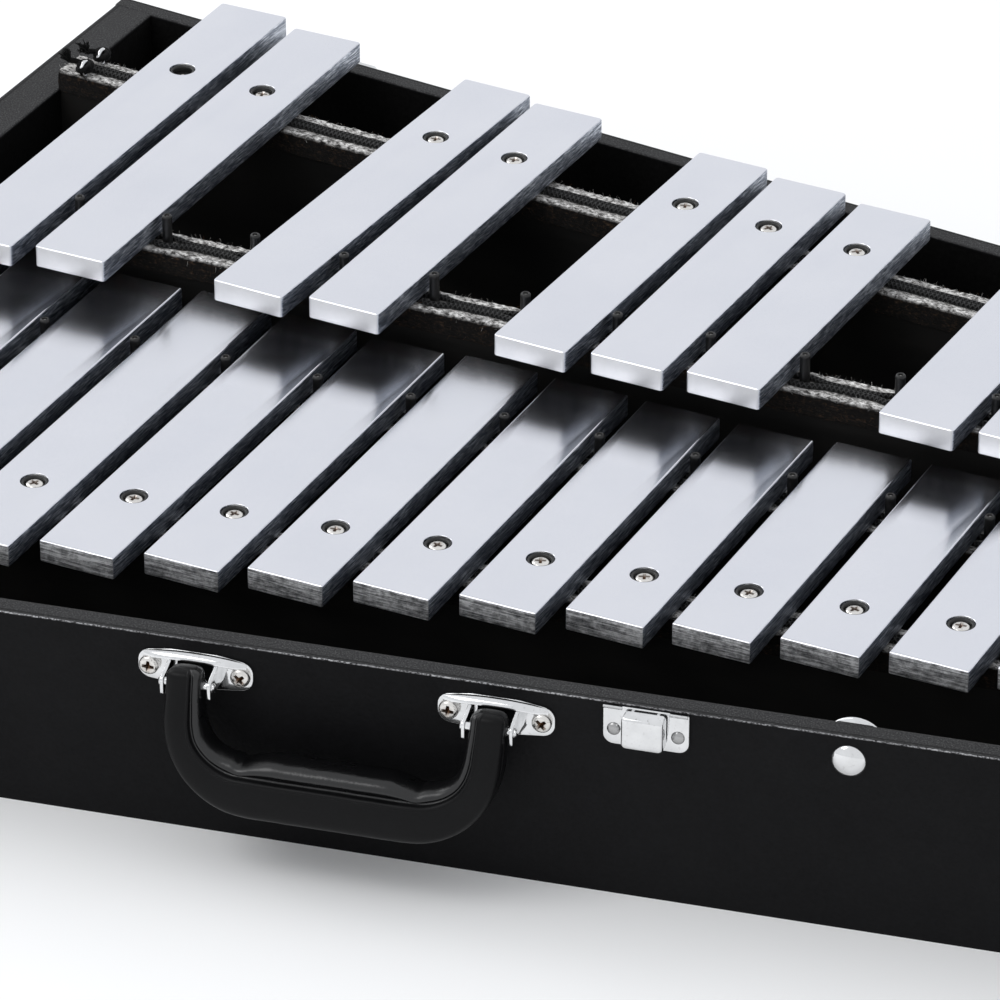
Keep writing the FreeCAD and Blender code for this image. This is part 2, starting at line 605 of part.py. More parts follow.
# Screw eyes that the cords are tied to, one for each cord, at the rails' bass ends.
EYE_WIRE = "Sizes.eye_wire / 2"
EYE_LEVEL = "Sizes.eye_size / 2"
ring_out = lie_along_x(primitive("Cylinder", "anchor_ring",
                                 {"Radius": "Sizes.eye_size / 2", "Height": "Sizes.eye_wire"},
                                 ("-" + EYE_WIRE, ZERO, EYE_LEVEL)))
ring_in = lie_along_x(primitive("Cylinder", "anchor_ring_hole",
                                {"Radius": "Sizes.eye_size / 2 - Sizes.eye_wire",
                                 "Height": "2 * Sizes.eye_wire"},
                                ("-Sizes.eye_wire", ZERO, EYE_LEVEL)))
stem = primitive("Box", "anchor_stem",
                 {"Length": "Sizes.eye_wire", "Width": "Sizes.eye_wire",
                  "Height": "Sizes.felt_thick + Sizes.pin_bite + " + EYE_WIRE},
                 ("-" + EYE_WIRE, "-" + EYE_WIRE, "-Sizes.felt_thick - Sizes.pin_bite"))
anchor = fuse("cord_anchor", [cut("anchor_eye", ring_out, ring_in), stem])
anchor_places = []
for _, line, top in RAILS:
    x = -HALF_IN + value("Sizes.eye_from_wall")
    turn = Rotation(Vector(0, 0, 1), line.angle)
    for side in (-1, 1):
        off = turn.multVec(Vector(0, side * value("Sizes.eye_off"), 0))
        anchor_places.append(Placement(Vector(x, line.at(x), value(top + " - Layout.under_bar")) + off, turn))
copies("cord_anchors", anchor, anchor_places)


# ---------------------------------------------------------------- fittings on the walls
# A fitting is drawn with X along its wall, Y into the wall, Z up, and Z = 0 at the rim.

FRONT_TURN = Rotation(Vector(0, 0, 1), front_inside.angle)
BACK_TURN = Rotation(Vector(0, 0, 1), back_inside.angle + 180)
FACE_OUT = Rotation(Vector(1, 0, 0), 90)


def on_front(x, below=0.0):
    """A place on the front wall's outer face."""
    return Placement(Vector(x, front_inside.at(x) - value("Layout.front_thick"), RIM - below), FRONT_TURN)


def on_back(x, below=0.0):
    return Placement(Vector(x, back_inside.at(x) + value("Layout.back_thick"), RIM - below), BACK_TURN)


def beside(base, along, out=0.0, up=0.0):
    """A placement moved along its wall, out of it and up."""
    return base.multiply(Placement(Vector(along, -out, up), Rotation()))


def facing_out(base, along, out=0.0, up=0.0):
    """The same for a turned piece, whose axis then points out of the wall."""
    return beside(base, along, out, up).multiply(Placement(Vector(), FACE_OUT))


HANDLE_X = value("Sizes.handle_at")
handle_base = on_front(HANDLE_X, value("Sizes.bracket_below"))

# The stamped bracket: a plate with two screw holes and two ears that hold the handle's pin.
EAR_INSIDE = "(Sizes.leg_wide / 2 + Sizes.ear_clear)"
plate = new_body("bracket_plate")
half_long, half_high = "Sizes.bracket_long / 2", "Sizes.bracket_high / 2"
plate_sketch = outline(plate, "XZ_Plane", [("-" + half_long, "-" + half_high), (half_long, "-" + half_high),
                                           (half_long, half_high), ("-" + half_long, half_high)])
for side in ("-", "+"):
    circle(plate_sketch, "Sizes.screw_shank / 2", side + "Sizes.bracket_screws / 2", ZERO)
plate_pad = pad(plate, plate_sketch, "Sizes.plate_thick")
dress(plate, "Fillet", plate_pad, "Sizes.bracket_corner",
      lambda edge: len(edge.Vertexes) == 2 and abs(edge.Vertexes[0].Y - edge.Vertexes[1].Y) > NEAR
      and abs(abs(edge.Vertexes[0].X) - value(half_long)) < NEAR)
ears = []
for number, start in enumerate(("-%s - Sizes.ear_thick" % EAR_INSIDE, EAR_INSIDE)):
    web = primitive("Box", "ear_web_%d" % number,
                    {"Length": "Sizes.ear_thick", "Width": "Sizes.handle_out", "Height": "Sizes.ear_high"},
                    (start, "-Sizes.handle_out", "-Sizes.ear_high / 2"))
    tip = lie_along_x(primitive("Cylinder", "ear_tip_%d" % number,
                                {"Radius": "Sizes.ear_high / 2", "Height": "Sizes.ear_thick"},
                                (start, "-Sizes.handle_out", ZERO)))
    ears += [web, tip]
rim_lip = primitive("Box", "bracket_lip", {"Length": "Sizes.bracket_long - 2 * Sizes.bracket_corner",
                                           "Width": "Sizes.bracket_lip", "Height": "Sizes.plate_thick"},
                    ("-Sizes.bracket_long / 2 + Sizes.bracket_corner", "-Sizes.bracket_lip",
                     "Sizes.bracket_high / 2 - Sizes.plate_thick"))
pin_bore = lie_along_x(primitive("Cylinder", "bracket_bore",
                                 {"Radius": "Sizes.handle_pin / 2", "Height": "Sizes.bracket_long"},
                                 ("-Sizes.bracket_long / 2", "-Sizes.handle_out", ZERO)))
bracket = cut("handle_bracket", fuse("bracket_blank", [plate] + ears + [rim_lip]), pin_bore)
half_span = value("Sizes.handle_span / 2")
copies("handle_brackets", bracket, [beside(handle_base, side * half_span) for side in (-1, 1)])

bracket_screw = pan_head("bracket_screw", "Sizes.screw_head_high + Sizes.plate_thick + Sizes.front_wall"
                         " - Sizes.screw_stop")
half_screws = value("Sizes.bracket_screws / 2")
head_out = value("Sizes.plate_thick + Sizes.screw_head_high")
copies("bracket_screws", bracket_screw,
       [facing_out(handle_base, leg * half_span + side * half_screws, head_out)
        for leg in (-1, 1) for side in (-1, 1)])

handle_pin = lie_along_x(primitive("Cylinder", "handle_pin_rod",
                                   {"Radius": "Sizes.handle_pin / 2",
                                    "Height": "2 * %s + 2 * Sizes.ear_thick" % EAR_INSIDE},
                                   ("-%s - Sizes.ear_thick" % EAR_INSIDE, "-Sizes.handle_out", ZERO)))
copies("handle_pins", handle_pin, [beside(handle_base, side * half_span) for side in (-1, 1)])


# The grip's tapered ends, as shares of its radius and of the legs' depth.
TAPER_LONG, TAPER_END = 0.6, 0.8


def make_handle():
    """The moulded handle, hanging: two legs, round corners and a padded grip."""
    half = value("Sizes.handle_span / 2")
    drop, bend = value("Sizes.handle_drop"), value("Sizes.handle_bend")
    diagonal = bend * (1 - math.sqrt(0.5))
    left_bend = Part.Arc(Vector(-half, 0, bend - drop), Vector(diagonal - half, 0, diagonal - drop),
                         Vector(bend - half, 0, -drop))
    right_bend = Part.Arc(Vector(half - bend, 0, -drop), Vector(half - diagonal, 0, diagonal - drop),
                          Vector(half, 0, bend - drop))
    path = Part.Wire([Part.LineSegment(Vector(-half, 0, 0), Vector(-half, 0, bend - drop)).toShape(),
                      left_bend.toShape(),
                      Part.LineSegment(Vector(bend - half, 0, -drop), Vector(half - bend, 0, -drop)).toShape(),
                      right_bend.toShape(),
                      Part.LineSegment(Vector(half, 0, bend - drop), Vector(half, 0, 0)).toShape()])
    across, deep = value("Sizes.leg_wide / 2"), value("Sizes.leg_deep / 2")
    section = Part.Ellipse(Vector(-half, deep, 0), Vector(-half - across, 0, 0), Vector(-half, 0, 0))
    bar = path.makePipeShell([Part.Wire([section.toShape()])], True, True)
    grip_long, grip = value("Sizes.grip_long"), value("Sizes.grip_size / 2")
    grip_bar = Part.makeCylinder(grip, grip_long, Vector(-grip_long / 2, 0, -drop), Vector(1, 0, 0))
    taper = [Part.makeCone(grip, deep * TAPER_END, grip * TAPER_LONG, Vector(side * grip_long / 2, 0, -drop),
                           Vector(side, 0, 0)) for side in (-1, 1)]
    knobs = [Part.makeCylinder(deep, 2 * across, Vector(side * half - across, 0, 0), Vector(1, 0, 0))
             for side in (-1, 1)]
    solid = bar.multiFuse([grip_bar] + taper + knobs).removeSplitter()
    bore = value("Sizes.handle_pin / 2 + Sizes.pin_clear")
    for side in (-1, 1):
        solid = solid.cut(Part.makeCylinder(bore, 4 * across, Vector(side * half - 2 * across, 0, 0),
                                            Vector(1, 0, 0)))
    return solid


handle = doc.addObject("Part::Feature", "handle_grip")
handle.Shape = make_handle()
handle.Placement = beside(handle_base, 0, value("Sizes.handle_out")).multiply(
    Placement(Vector(), Rotation(Vector(1, 0, 0), -value("Sizes.handle_lean"))))
keep(handle, "handle_grip")

# The latches: a riveted plate with two small ears, a pin and a lever that hides them.
latch_places = [on_front(HANDLE_X - value("Sizes.latch_bass")),
                on_front(HANDLE_X + value("Sizes.latch_treble"))]
latch = new_body("latch_sheet")
half_wide, plate_foot = "Sizes.latch_wide / 2", "-Sizes.latch_below - Sizes.latch_high"
latch_sketch = outline(latch, "XZ_Plane", [("-" + half_wide, plate_foot), (half_wide, plate_foot),
                                           (half_wide, "-Sizes.latch_below"),
                                           ("-" + half_wide, "-Sizes.latch_below")])
RIVETS_APART = "(Sizes.latch_wide / 2 + Sizes.lever_wide / 2) / 2"
RIVET_LEVEL = "-Sizes.latch_rivets"
for side in ("-", "+"):
    circle(latch_sketch, "Sizes.rivet_shank / 2", side + RIVETS_APART, RIVET_LEVEL)
latch_pad = pad(latch, latch_sketch, "Sizes.plate_thick")
foot_level = value(plate_foot)
dress(latch, "Fillet", latch_pad, "Sizes.latch_corner",
      lambda edge: len(edge.Vertexes) == 2 and abs(edge.Vertexes[0].Y - edge.Vertexes[1].Y) > NEAR
      and abs(edge.Vertexes[0].Z - foot_level) < NEAR)
LUG_OUTSIDE = "Sizes.lever_wide / 2 - Sizes.lever_sheet - Sizes.lug_gap"
lugs = []
for number, start in enumerate(("-(%s)" % LUG_OUTSIDE, "%s - Sizes.lug_thick" % LUG_OUTSIDE)):
    lugs.append(primitive("Box", "latch_lug_%d" % number,
                          {"Length": "Sizes.lug_thick", "Width": "Sizes.lever_out + Sizes.lug_past",
                           "Height": "Sizes.lug_high"},
                          (start, "-Sizes.lever_out - Sizes.lug_past",
                           "-Sizes.lever_below - Sizes.lug_high / 2")))
lug_bore = lie_along_x(primitive("Cylinder", "latch_bore",
                                 {"Radius": "Sizes.latch_pin / 2", "Height": "Sizes.lever_wide"},
                                 ("-Sizes.lever_wide / 2", "-Sizes.lever_out", "-Sizes.lever_below")))
latch_plate = cut("latch_plate", fuse("latch_blank", [latch] + lugs), lug_bore)
copies("latch_plates", latch_plate, latch_places)

latch_rod = lie_along_x(primitive("Cylinder", "latch_pin_rod",
                                  {"Radius": "Sizes.latch_pin / 2", "Height": "Sizes.lever_wide"},
                                  ("-Sizes.lever_wide / 2", "-Sizes.lever_out", "-Sizes.lever_below")))
copies("latch_pins", latch_rod, latch_places)

lever_block = primitive("Box", "lever_block",
                        {"Length": "Sizes.lever_wide", "Width": "Sizes.lever_face + Sizes.lever_back",
                         "Height": "Sizes.lever_long"},
                        ("-Sizes.lever_wide / 2", "-Sizes.lever_face", "Sizes.lever_head - Sizes.lever_long"))
lever_hollow = primitive("Box", "lever_hollow",
                         {"Length": "Sizes.lever_wide - 2 * Sizes.lever_sheet",
                          "Width": "Sizes.lever_face + Sizes.lever_back", "Height": "2 * Sizes.lever_long"},
                         ("-Sizes.lever_wide / 2 + Sizes.lever_sheet", "Sizes.lever_sheet - Sizes.lever_face",
                          "-Sizes.lever_long"))
lever_bore = lie_along_x(primitive("Cylinder", "lever_bore",
                                   {"Radius": "Sizes.latch_pin / 2 + Sizes.pin_clear",
                                    "Height": "2 * Sizes.lever_wide"},
                                   ("-Sizes.lever_wide", ZERO, ZERO)))
lever = cut("lever", cut("lever_shell", lever_block, lever_hollow), lever_bore)
doc.recompute()
for label, place in zip(("latch_lever_bass", "latch_lever_treble"), latch_places):
    lever_node = doc.addObject("Part::Feature", label)
    lever_node.Shape = lever.Shape.copy()
    lever_node.Placement = beside(place, 0, value("Sizes.lever_out"), -value("Sizes.lever_below"))
    keep(lever_node, label)

# Lid locators: a domed rivet through the front wall holds a disc that stands above the rim.
stud_places = [on_front(HANDLE_X + side * value("Sizes.stud_reach"), value("Sizes.stud_below"))
               for side in (-1, 1)]


# Outline of a domed head, as shares of its radius.
DOME_CURVE = [(0.92, 0.17), (0.7, 0.33), (0.38, 0.42), (0, 0.45)]


def domed(name, head, shank, long):
    """A rivet with a domed head outside the wall; height 0 is under its head."""
    return turned(name, [(ZERO, "-(%s)" % long), (shank, "-(%s)" % long), (shank, ZERO), (head, ZERO)]
                  + [("%s * %g" % (head, out), "%s * %g" % (head, high)) for out, high in DOME_CURVE])


stud = domed("locator_rivet", "Sizes.stud_size / 2", "Sizes.screw_shank / 2",
             "Sizes.front_wall + Sizes.disc_thick")
copies("locator_rivets", stud, [facing_out(place, 0) for place in stud_places])
disc_edge = "Sizes.disc_size / 2"
disc = turned("locator_disc", [("Sizes.screw_shank / 2", "-Sizes.disc_thick"),
                               (disc_edge + " - Sizes.disc_thick / 2", "-Sizes.disc_thick"),
                               (disc_edge, "-Sizes.disc_thick / 2"), (disc_edge, ZERO),
                               ("Sizes.screw_shank / 2", ZERO)])
copies("locator_discs", disc, [facing_out(place, 0, -value("Sizes.front_wall")) for place in stud_places])

# Hinge halves for the lift-off lid: leaf, knuckle and the pin that the lid's knuckle slides on.
# The leaf is cut away beside that pin, where the lid's own knuckle goes.
hinge_places = [on_back(side * value("Sizes.hinge_reach")) for side in (-1, 1)]
KNUCKLE_OUT = "-Sizes.knuckle_size / 2 - Sizes.knuckle_clear"
KNUCKLE_LEVEL = "-Sizes.knuckle_size / 2"
leaf = primitive("Box", "hinge_leaf",
                 {"Length": "Sizes.hinge_long", "Width": "Sizes.plate_thick", "Height": "Sizes.hinge_high"},
                 ("-Sizes.hinge_long / 2", "-Sizes.plate_thick", "-Sizes.hinge_high - Sizes.hinge_below"))
leaf_relief = primitive("Box", "leaf_relief",
                        {"Length": "Sizes.hinge_long", "Width": "Sizes.knuckle_size",
                         "Height": "Sizes.knuckle_size"},
                        ("-Sizes.hinge_long", "-Sizes.knuckle_size",
                         "-Sizes.knuckle_size - Sizes.knuckle_clear"))
knuckle = lie_along_x(primitive("Cylinder", "hinge_knuckle",
                                {"Radius": "Sizes.knuckle_size / 2", "Height": "Sizes.hinge_long / 2"},
                                (ZERO, KNUCKLE_OUT, KNUCKLE_LEVEL)))
lift_pin = lie_along_x(primitive("Cylinder", "hinge_lift_pin",
                                 {"Radius": "Sizes.hinge_pin / 2",
                                  "Height": "Sizes.hinge_pin_long + Sizes.hinge_pin_held"},
                                 ("-Sizes.hinge_pin_long", KNUCKLE_OUT, KNUCKLE_LEVEL)))
leaf_holes = [primitive("Cylinder", "leaf_hole_%d" % number,
                        {"Radius": "Sizes.rivet_shank / 2", "Height": "3 * Sizes.plate_thick"},
                        (side + "Sizes.hinge_long / 4", "Sizes.plate_thick", "-Sizes.hinge_rivets"))
              for number, side in enumerate(("-", "+"))]
for hole in leaf_holes:
    hole.Placement.Rotation = FACE_OUT
hinge = cut("hinge_half", fuse("hinge_blank", [cut("hinge_leaf_cut", leaf, leaf_relief), knuckle, lift_pin]),
            fuse("leaf_holes", leaf_holes))
copies("hinge_halves", hinge, hinge_places)

small_rivet = domed("small_rivet", "Sizes.rivet_head / 2", "Sizes.rivet_shank / 2",
                    "Sizes.plate_thick + Sizes.rivet_bite")
out = value("Sizes.plate_thick")
latch_half, latch_level = value(RIVETS_APART), value(RIVET_LEVEL)
leaf_half, leaf_level = value("Sizes.hinge_long / 4"), value("-Sizes.hinge_rivets")
copies("small_rivets", small_rivet,
       [facing_out(place, side * latch_half, out, latch_level) for place in latch_places for side in (-1, 1)]
       + [facing_out(place, side * leaf_half, out, leaf_level) for place in hinge_places for side in (-1, 1)])


# ---------------------------------------------------------------- checks and files

doc.recompute()
for feature in doc.Objects:
    if "Invalid" in feature.State or "Error" in feature.State:
        raise RuntimeError("%s did not build: %s" % (feature.Name, feature.State))
for feature in sub_parts:
    if feature.Shape.isNull() or not feature.Shape.isValid():
        raise RuntimeError("%s has no valid shape" % feature.Label)

os.makedirs("parts", exist_ok=True)
for feature in sub_parts:
    feature.Shape.exportStep("parts/%s.step" % feature.Label)
print("%d sub-parts" % len(sub_parts))
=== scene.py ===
import json
import math
import random

import bmesh
import bpy
from mathutils import Matrix, Vector, noise


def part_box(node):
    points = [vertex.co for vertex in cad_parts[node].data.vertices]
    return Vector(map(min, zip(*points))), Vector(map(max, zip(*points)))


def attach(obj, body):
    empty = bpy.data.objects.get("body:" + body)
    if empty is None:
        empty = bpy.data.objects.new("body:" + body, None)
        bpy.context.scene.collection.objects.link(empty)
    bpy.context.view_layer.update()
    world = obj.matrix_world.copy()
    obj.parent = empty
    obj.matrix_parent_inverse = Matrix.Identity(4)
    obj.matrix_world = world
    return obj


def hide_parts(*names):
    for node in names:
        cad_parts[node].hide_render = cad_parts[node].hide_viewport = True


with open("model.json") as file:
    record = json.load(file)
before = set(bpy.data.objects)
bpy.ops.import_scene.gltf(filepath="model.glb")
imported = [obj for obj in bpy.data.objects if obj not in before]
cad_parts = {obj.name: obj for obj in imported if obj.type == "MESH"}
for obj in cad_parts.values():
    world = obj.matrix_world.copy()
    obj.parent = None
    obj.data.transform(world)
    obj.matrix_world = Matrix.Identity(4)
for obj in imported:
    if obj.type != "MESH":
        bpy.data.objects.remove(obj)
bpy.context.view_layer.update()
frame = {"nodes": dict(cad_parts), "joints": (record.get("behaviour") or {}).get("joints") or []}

MM = 0.001
MERGE, SAME_LEVEL = 1e-7, 1e-5
SIDES = (-1, 1)
AXIS = 0.001    # so near a turned piece's axis that its end closes
NOTES = sorted(n for n in frame["nodes"] if n.startswith("bar_") and n not in ("bar_screws",
    "bar_grommets"))
JOINTS = {joint["name"]: joint for joint in frame["joints"]}


# ---------------------------------------------------------------- shaping helpers

class Shape:
    """Points and faces gathered for one piece."""

    def __init__(self, points=(), faces=()):
        self.points = [Vector(p) for p in points]
        self.faces = [tuple(f) for f in faces]

    def add(self, other, place=Matrix()):
        first = len(self.points)
        self.points += [place @ p for p in other.points]
        self.faces += [tuple(first + i for i in f) for f in other.faces]
        return self


def loft(rings, ends=True):
    """A skin over rings that have the same number of points each."""
    count = len(rings[0])
    points = [p for ring in rings for p in ring]
    faces = []
    for r in range(len(rings) - 1):
        for i in range(count):
            j = (i + 1) % count
            faces.append((r * count + i, r * count + j, (r + 1) * count + j, (r + 1) * count + i))
    if ends:
        faces += [tuple(reversed(range(count))), tuple(range(len(points) - count, len(points)))]
    return Shape(points, faces)


def circle(steps):
    """Cosine and sine of each of a circle's evenly spaced steps."""
    angles = [2 * math.pi * k / steps for k in range(steps)]
    return [(math.cos(angle), math.sin(angle)) for angle in angles]


def neighbours(loop):
    """Each item of a closed loop with the one after it."""
    return [(item, loop[(i + 1) % len(loop)]) for i, item in enumerate(loop)]


def lathe(profile, sides=24, hollow=False):
    """A turned shape about Z from (radius, height) pairs; a hollow one closes on itself."""
    rings = [[Vector((radius * x, radius * y, height)) for x, y in circle(sides)] for radius,
        height in profile + (profile[:1] if hollow else [])]
    return loft(rings, ends=not hollow)


def inset(loop, distance):
    """A flat outline moved inwards, for an outline that runs anticlockwise."""
    moved = []
    for i, point in enumerate(loop):
        before, after = loop[i - 1], loop[(i + 1) % len(loop)]
        along = ((point - before).normalized() + (after - point).normalized()).normalized()
        moved.append(point + Vector((-along.y, along.x)) * distance)
    return moved


def rounded_outline(corners, radii, steps=6):
    """An anticlockwise outline with a fillet at each corner."""
    loop = []
    count = len(corners)
    for i in range(count):
        here, radius = Vector(corners[i]), radii[i]
        back = (Vector(corners[i - 1]) - here).normalized()
        onward = (Vector(corners[(i + 1) % count]) - here).normalized()
        half = back.angle(onward) / 2
        start = here + back * radius / math.tan(half)
        centre = here + (back + onward).normalized() * radius / math.sin(half)
        first = math.atan2(*(start - centre).yx)
        sweep = math.pi - 2 * half
        for k in range(steps + 1):
            angle = first + sweep * k / steps
            loop.append(centre + radius * Vector((math.cos(angle), math.sin(angle))))
    return loop


def circle_outline(radius, across=0.0, up=0.0, steps=28):
    return [Vector((across + radius * x, up + radius * y)) for x, y in circle(steps)]


def shape_of(bm):
    """The shape a bmesh holds; the bmesh is freed."""
    bm.verts.index_update()
    shape = Shape([v.co for v in bm.verts], [[v.index for v in f.verts] for f in bm.faces])
    bm.free()
    return shape


def plate(outline, holes, thick, edge, hole_edge=None, steps=3):
    """A flat plate from z = 0 to thick with holes and softened edges all round."""
    bm = bmesh.new()
    hole_edge = edge if hole_edge is None else hole_edge

    def sleeve(loop, inward, soft):
        levels = []
        for k in range(steps + 1):
            angle = math.pi / 2 * k / steps
            levels.append((soft * (1 - math.sin(angle)), soft * (1 - math.cos(angle))))
        levels += [(gap, thick - height) for gap, height in reversed(levels)]
        rings = []
        for gap, height in levels:
            rings.append([bm.verts.new((p.x, p.y, height)) for p in inset(loop, inward * gap)])
        for low, high in zip(rings, rings[1:]):
            for (a, b), (d, c) in zip(neighbours(low), neighbours(high)):
                bm.faces.new((a, b, c, d))
        return rings[0], rings[-1]

    walls = [sleeve(outline, 1, edge)] + [sleeve(hole, -1, hole_edge) for hole in holes]
    for side, facing in ((0, -1), (1, 1)):
        edges = [bm.edges.get(pair) for rings in walls for pair in neighbours(rings[side])]
        bmesh.ops.triangle_fill(bm, edges=edges, use_beauty=True, use_dissolve=False,
            normal=Vector((0, 0, facing)))
    return shape_of(bm)


def tube(path, radius, sides):
    """A round tube along a path."""
    rings = []
    side = None
    for i, point in enumerate(path):
        ahead = path[min(i + 1, len(path) - 1)] - path[max(i - 1, 0)]
        ahead.normalize()
        if side is None:
            side = ahead.orthogonal().normalized()
        side = (side - ahead * side.dot(ahead)).normalized()
        other = ahead.cross(side)
        rings.append([point + radius * (side * x + other * y) for x, y in circle(sides)])
    return loft(rings)


def clean_mesh(name, shape, smooth, scale=MM):
    """A mesh from a shape, its doubles merged and its faces turned outwards."""
    bm = bmesh.new()
    corners = [bm.verts.new(p * scale) for p in shape.points]
    for face in shape.faces:
        bm.faces.new([corners[i] for i in face])
    bmesh.ops.remove_doubles(bm, verts=bm.verts, dist=MERGE)
    bmesh.ops.recalc_face_normals(bm, faces=bm.faces)
    mesh = bpy.data.meshes.new(name)
    bm.to_mesh(mesh)
    bm.free()
    mesh.shade_smooth()
    mesh.set_sharp_from_angle(angle=math.radians(smooth))
    return mesh


def placed(name, data):
    """An object in the scene for a mesh, a lamp or a camera."""
    made = bpy.data.objects.new(name, data)
    bpy.context.scene.collection.objects.link(made)
    return made


def piece(name, shape, finish, body="case", stands_for=(), smooth=32.0):
    """Turn a shape in millimetres into a piece that rides on a body."""
    mesh = clean_mesh(name, shape, smooth)
    mesh.materials.append(finish)
    return settle(placed(name, mesh), body, stands_for)


def settle(made, body, stands_for=()):
    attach(made, body)
    if stands_for:
        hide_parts(*stands_for)
    return made


def smooth_step(value):
    """A soft way from 0 to 1 as the value does the same."""
    value = min(1.0, max(0.0, value))
    return value * value * (3 - 2 * value)


def solids_of(node):
    """Lowest and highest corner of each separate solid of a CAD node, in millimetres."""
    bm = bmesh.new()
    bm.from_mesh(frame["nodes"][node].data)
    bmesh.ops.remove_doubles(bm, verts=bm.verts, dist=1e-6)
    seen, found = set(), []
    for start in bm.verts:
        if start in seen:
            continue
        seen.add(start)
        todo, members = [start], []
        while todo:
            vertex = todo.pop()
            members.append(vertex.co / MM)
            for edge in vertex.link_edges:
                other = edge.other_vert(vertex)
                if other not in seen:
                    seen.add(other)
                    todo.append(other)
        found.append((Vector(map(min, zip(*members))), Vector(map(max, zip(*members)))))
    bm.free()
    return sorted(found, key=lambda pair: (round(pair[0].x, 2), pair[0].y))


# ---------------------------------------------------------------- repeated fittings

def new_tree(name, start, inputs, result):
    """A node tree with its sockets, and the identifier of each named input."""
    tree = bpy.data.node_groups.new(name, "GeometryNodeTree")
    face = tree.interface
    face.new_socket(start, in_out="INPUT", socket_type="NodeSocketGeometry")
    names = {label: face.new_socket(label, in_out="INPUT", socket_type="NodeSocket" + kind).identifier
        for label, kind in inputs}
    face.new_socket(result, in_out="OUTPUT", socket_type="NodeSocketGeometry")
    return tree, names


def copies_on(tree, given, points, pattern, rotation, size):
    """Copies of the pattern on the points, made real, given their finish and put out."""
    nodes, link = tree.nodes, tree.links.new
    pick, setting = nodes.new("GeometryNodeObjectInfo"), nodes.new("GeometryNodeInstanceOnPoints")
    real, paint = nodes.new("GeometryNodeRealizeInstances"), nodes.new("GeometryNodeSetMaterial")
    link(points, setting.inputs["Points"])
    link(given.outputs[pattern], pick.inputs["Object"])
    link(pick.outputs["Geometry"], setting.inputs["Instance"])
    link(rotation, setting.inputs["Rotation"])
    link(size, setting.inputs["Scale"])
    link(setting.outputs["Instances"], real.inputs["Geometry"])
    link(real.outputs["Geometry"], paint.inputs["Geometry"])
    link(given.outputs["Finish"], paint.inputs["Material"])
    link(paint.outputs["Geometry"], nodes.new("NodeGroupOutput").inputs[0])


def fittings_tree():
    """A tree that sets a fitting on every point of a mesh, turned as the point says."""
    tree, names = new_tree("set_out_fittings", "Places", (("Fitting", "Object"), ("Size", "Float"),
        ("Finish", "Material")), "Fittings")
    nodes, link = tree.nodes, tree.links.new
    given, spots = nodes.new("NodeGroupInput"), nodes.new("GeometryNodeMeshToPoints")
    turn, angle = nodes.new("GeometryNodeInputNamedAttribute"), nodes.new("FunctionNodeEulerToRotation")
    turn.data_type = "FLOAT_VECTOR"
    turn.inputs["Name"].default_value = "turn"
    link(given.outputs["Places"], spots.inputs["Mesh"])
    link(turn.outputs["Attribute"], angle.inputs["Euler"])
    copies_on(tree, given, spots.outputs["Points"], "Fitting", angle.outputs["Rotation"],
        given.outputs["Size"])
    return tree, names


def fibres_tree():
    """A tree that lays short loose fibres at random where a surface faces up far enough."""
    inputs = (("Fibre", "Object"), ("Thickly", "Float"), ("Shortest", "Float"), ("Longest", "Float"),
        ("Lift", "Float"), ("Upwards", "Float"), ("Seed", "Int"), ("Finish", "Material"))
    tree, names = new_tree("lay_fibres", "Surface", inputs, "Fibres")
    nodes, link = tree.nodes, tree.links.new
    given, spread = nodes.new("NodeGroupInput"), nodes.new("GeometryNodeDistributePointsOnFaces")
    lean, long = nodes.new("FunctionNodeRandomValue"), nodes.new("FunctionNodeRandomValue")
    lean.data_type = "FLOAT_VECTOR"
    angle, turned = nodes.new("FunctionNodeEulerToRotation"), nodes.new("FunctionNodeRotateRotation")
    turned.rotation_space = "LOCAL"
    low, high = nodes.new("ShaderNodeCombineXYZ"), nodes.new("ShaderNodeCombineXYZ")
    minus, upper = nodes.new("ShaderNodeMath"), nodes.new("ShaderNodeMath")
    minus.operation, upper.operation = "MULTIPLY", "GREATER_THAN"
    minus.inputs[1].default_value = -1
    way, height = nodes.new("GeometryNodeInputNormal"), nodes.new("ShaderNodeSeparateXYZ")
    link(way.outputs["Normal"], height.inputs[0])
    link(height.outputs["Z"], upper.inputs[0])
    link(given.outputs["Upwards"], upper.inputs[1])
    link(upper.outputs[0], spread.inputs["Selection"])
    link(given.outputs["Surface"], spread.inputs["Mesh"])
    link(given.outputs["Thickly"], spread.inputs["Density"])
    link(given.outputs["Lift"], minus.inputs[0])
    for axis in "XY":
        link(minus.outputs[0], low.inputs[axis])
        link(given.outputs["Lift"], high.inputs[axis])
    low.inputs["Z"].default_value, high.inputs["Z"].default_value = -math.pi, math.pi
    link(low.outputs[0], lean.inputs["Min"])
    link(high.outputs[0], lean.inputs["Max"])
    for chosen in (spread, lean, long):
        link(given.outputs["Seed"], chosen.inputs["Seed"])
    link(lean.outputs["Value"], angle.inputs["Euler"])
    link(spread.outputs["Rotation"], turned.inputs["Rotation"])
    link(angle.outputs["Rotation"], turned.inputs["Rotate By"])
    link(given.outputs["Shortest"], long.inputs[2])
    link(given.outputs["Longest"], long.inputs[3])
    copies_on(tree, given, spread.outputs["Points"], "Fibre", turned.outputs["Rotation"],
        long.outputs[1])
    return tree, names


FITTINGS, FITTINGS_INPUTS = fittings_tree()
FIBRES, FIBRES_INPUTS = fibres_tree()


def grown(name, base, tree, inputs, values):
    """Run a tree on a base mesh and keep the result as a plain mesh."""
    holder = placed(name + "_base", base)
    grow = holder.modifiers.new("grow", "NODES")
    grow.node_group = tree
    for label, given in values.items():
        grow[inputs[label]] = given
    view = bpy.context.evaluated_depsgraph_get()
    mesh = bpy.data.meshes.new_from_object(holder.evaluated_get(view))
    mesh.name = name
    bpy.data.objects.remove(holder)
    return placed(name, mesh)


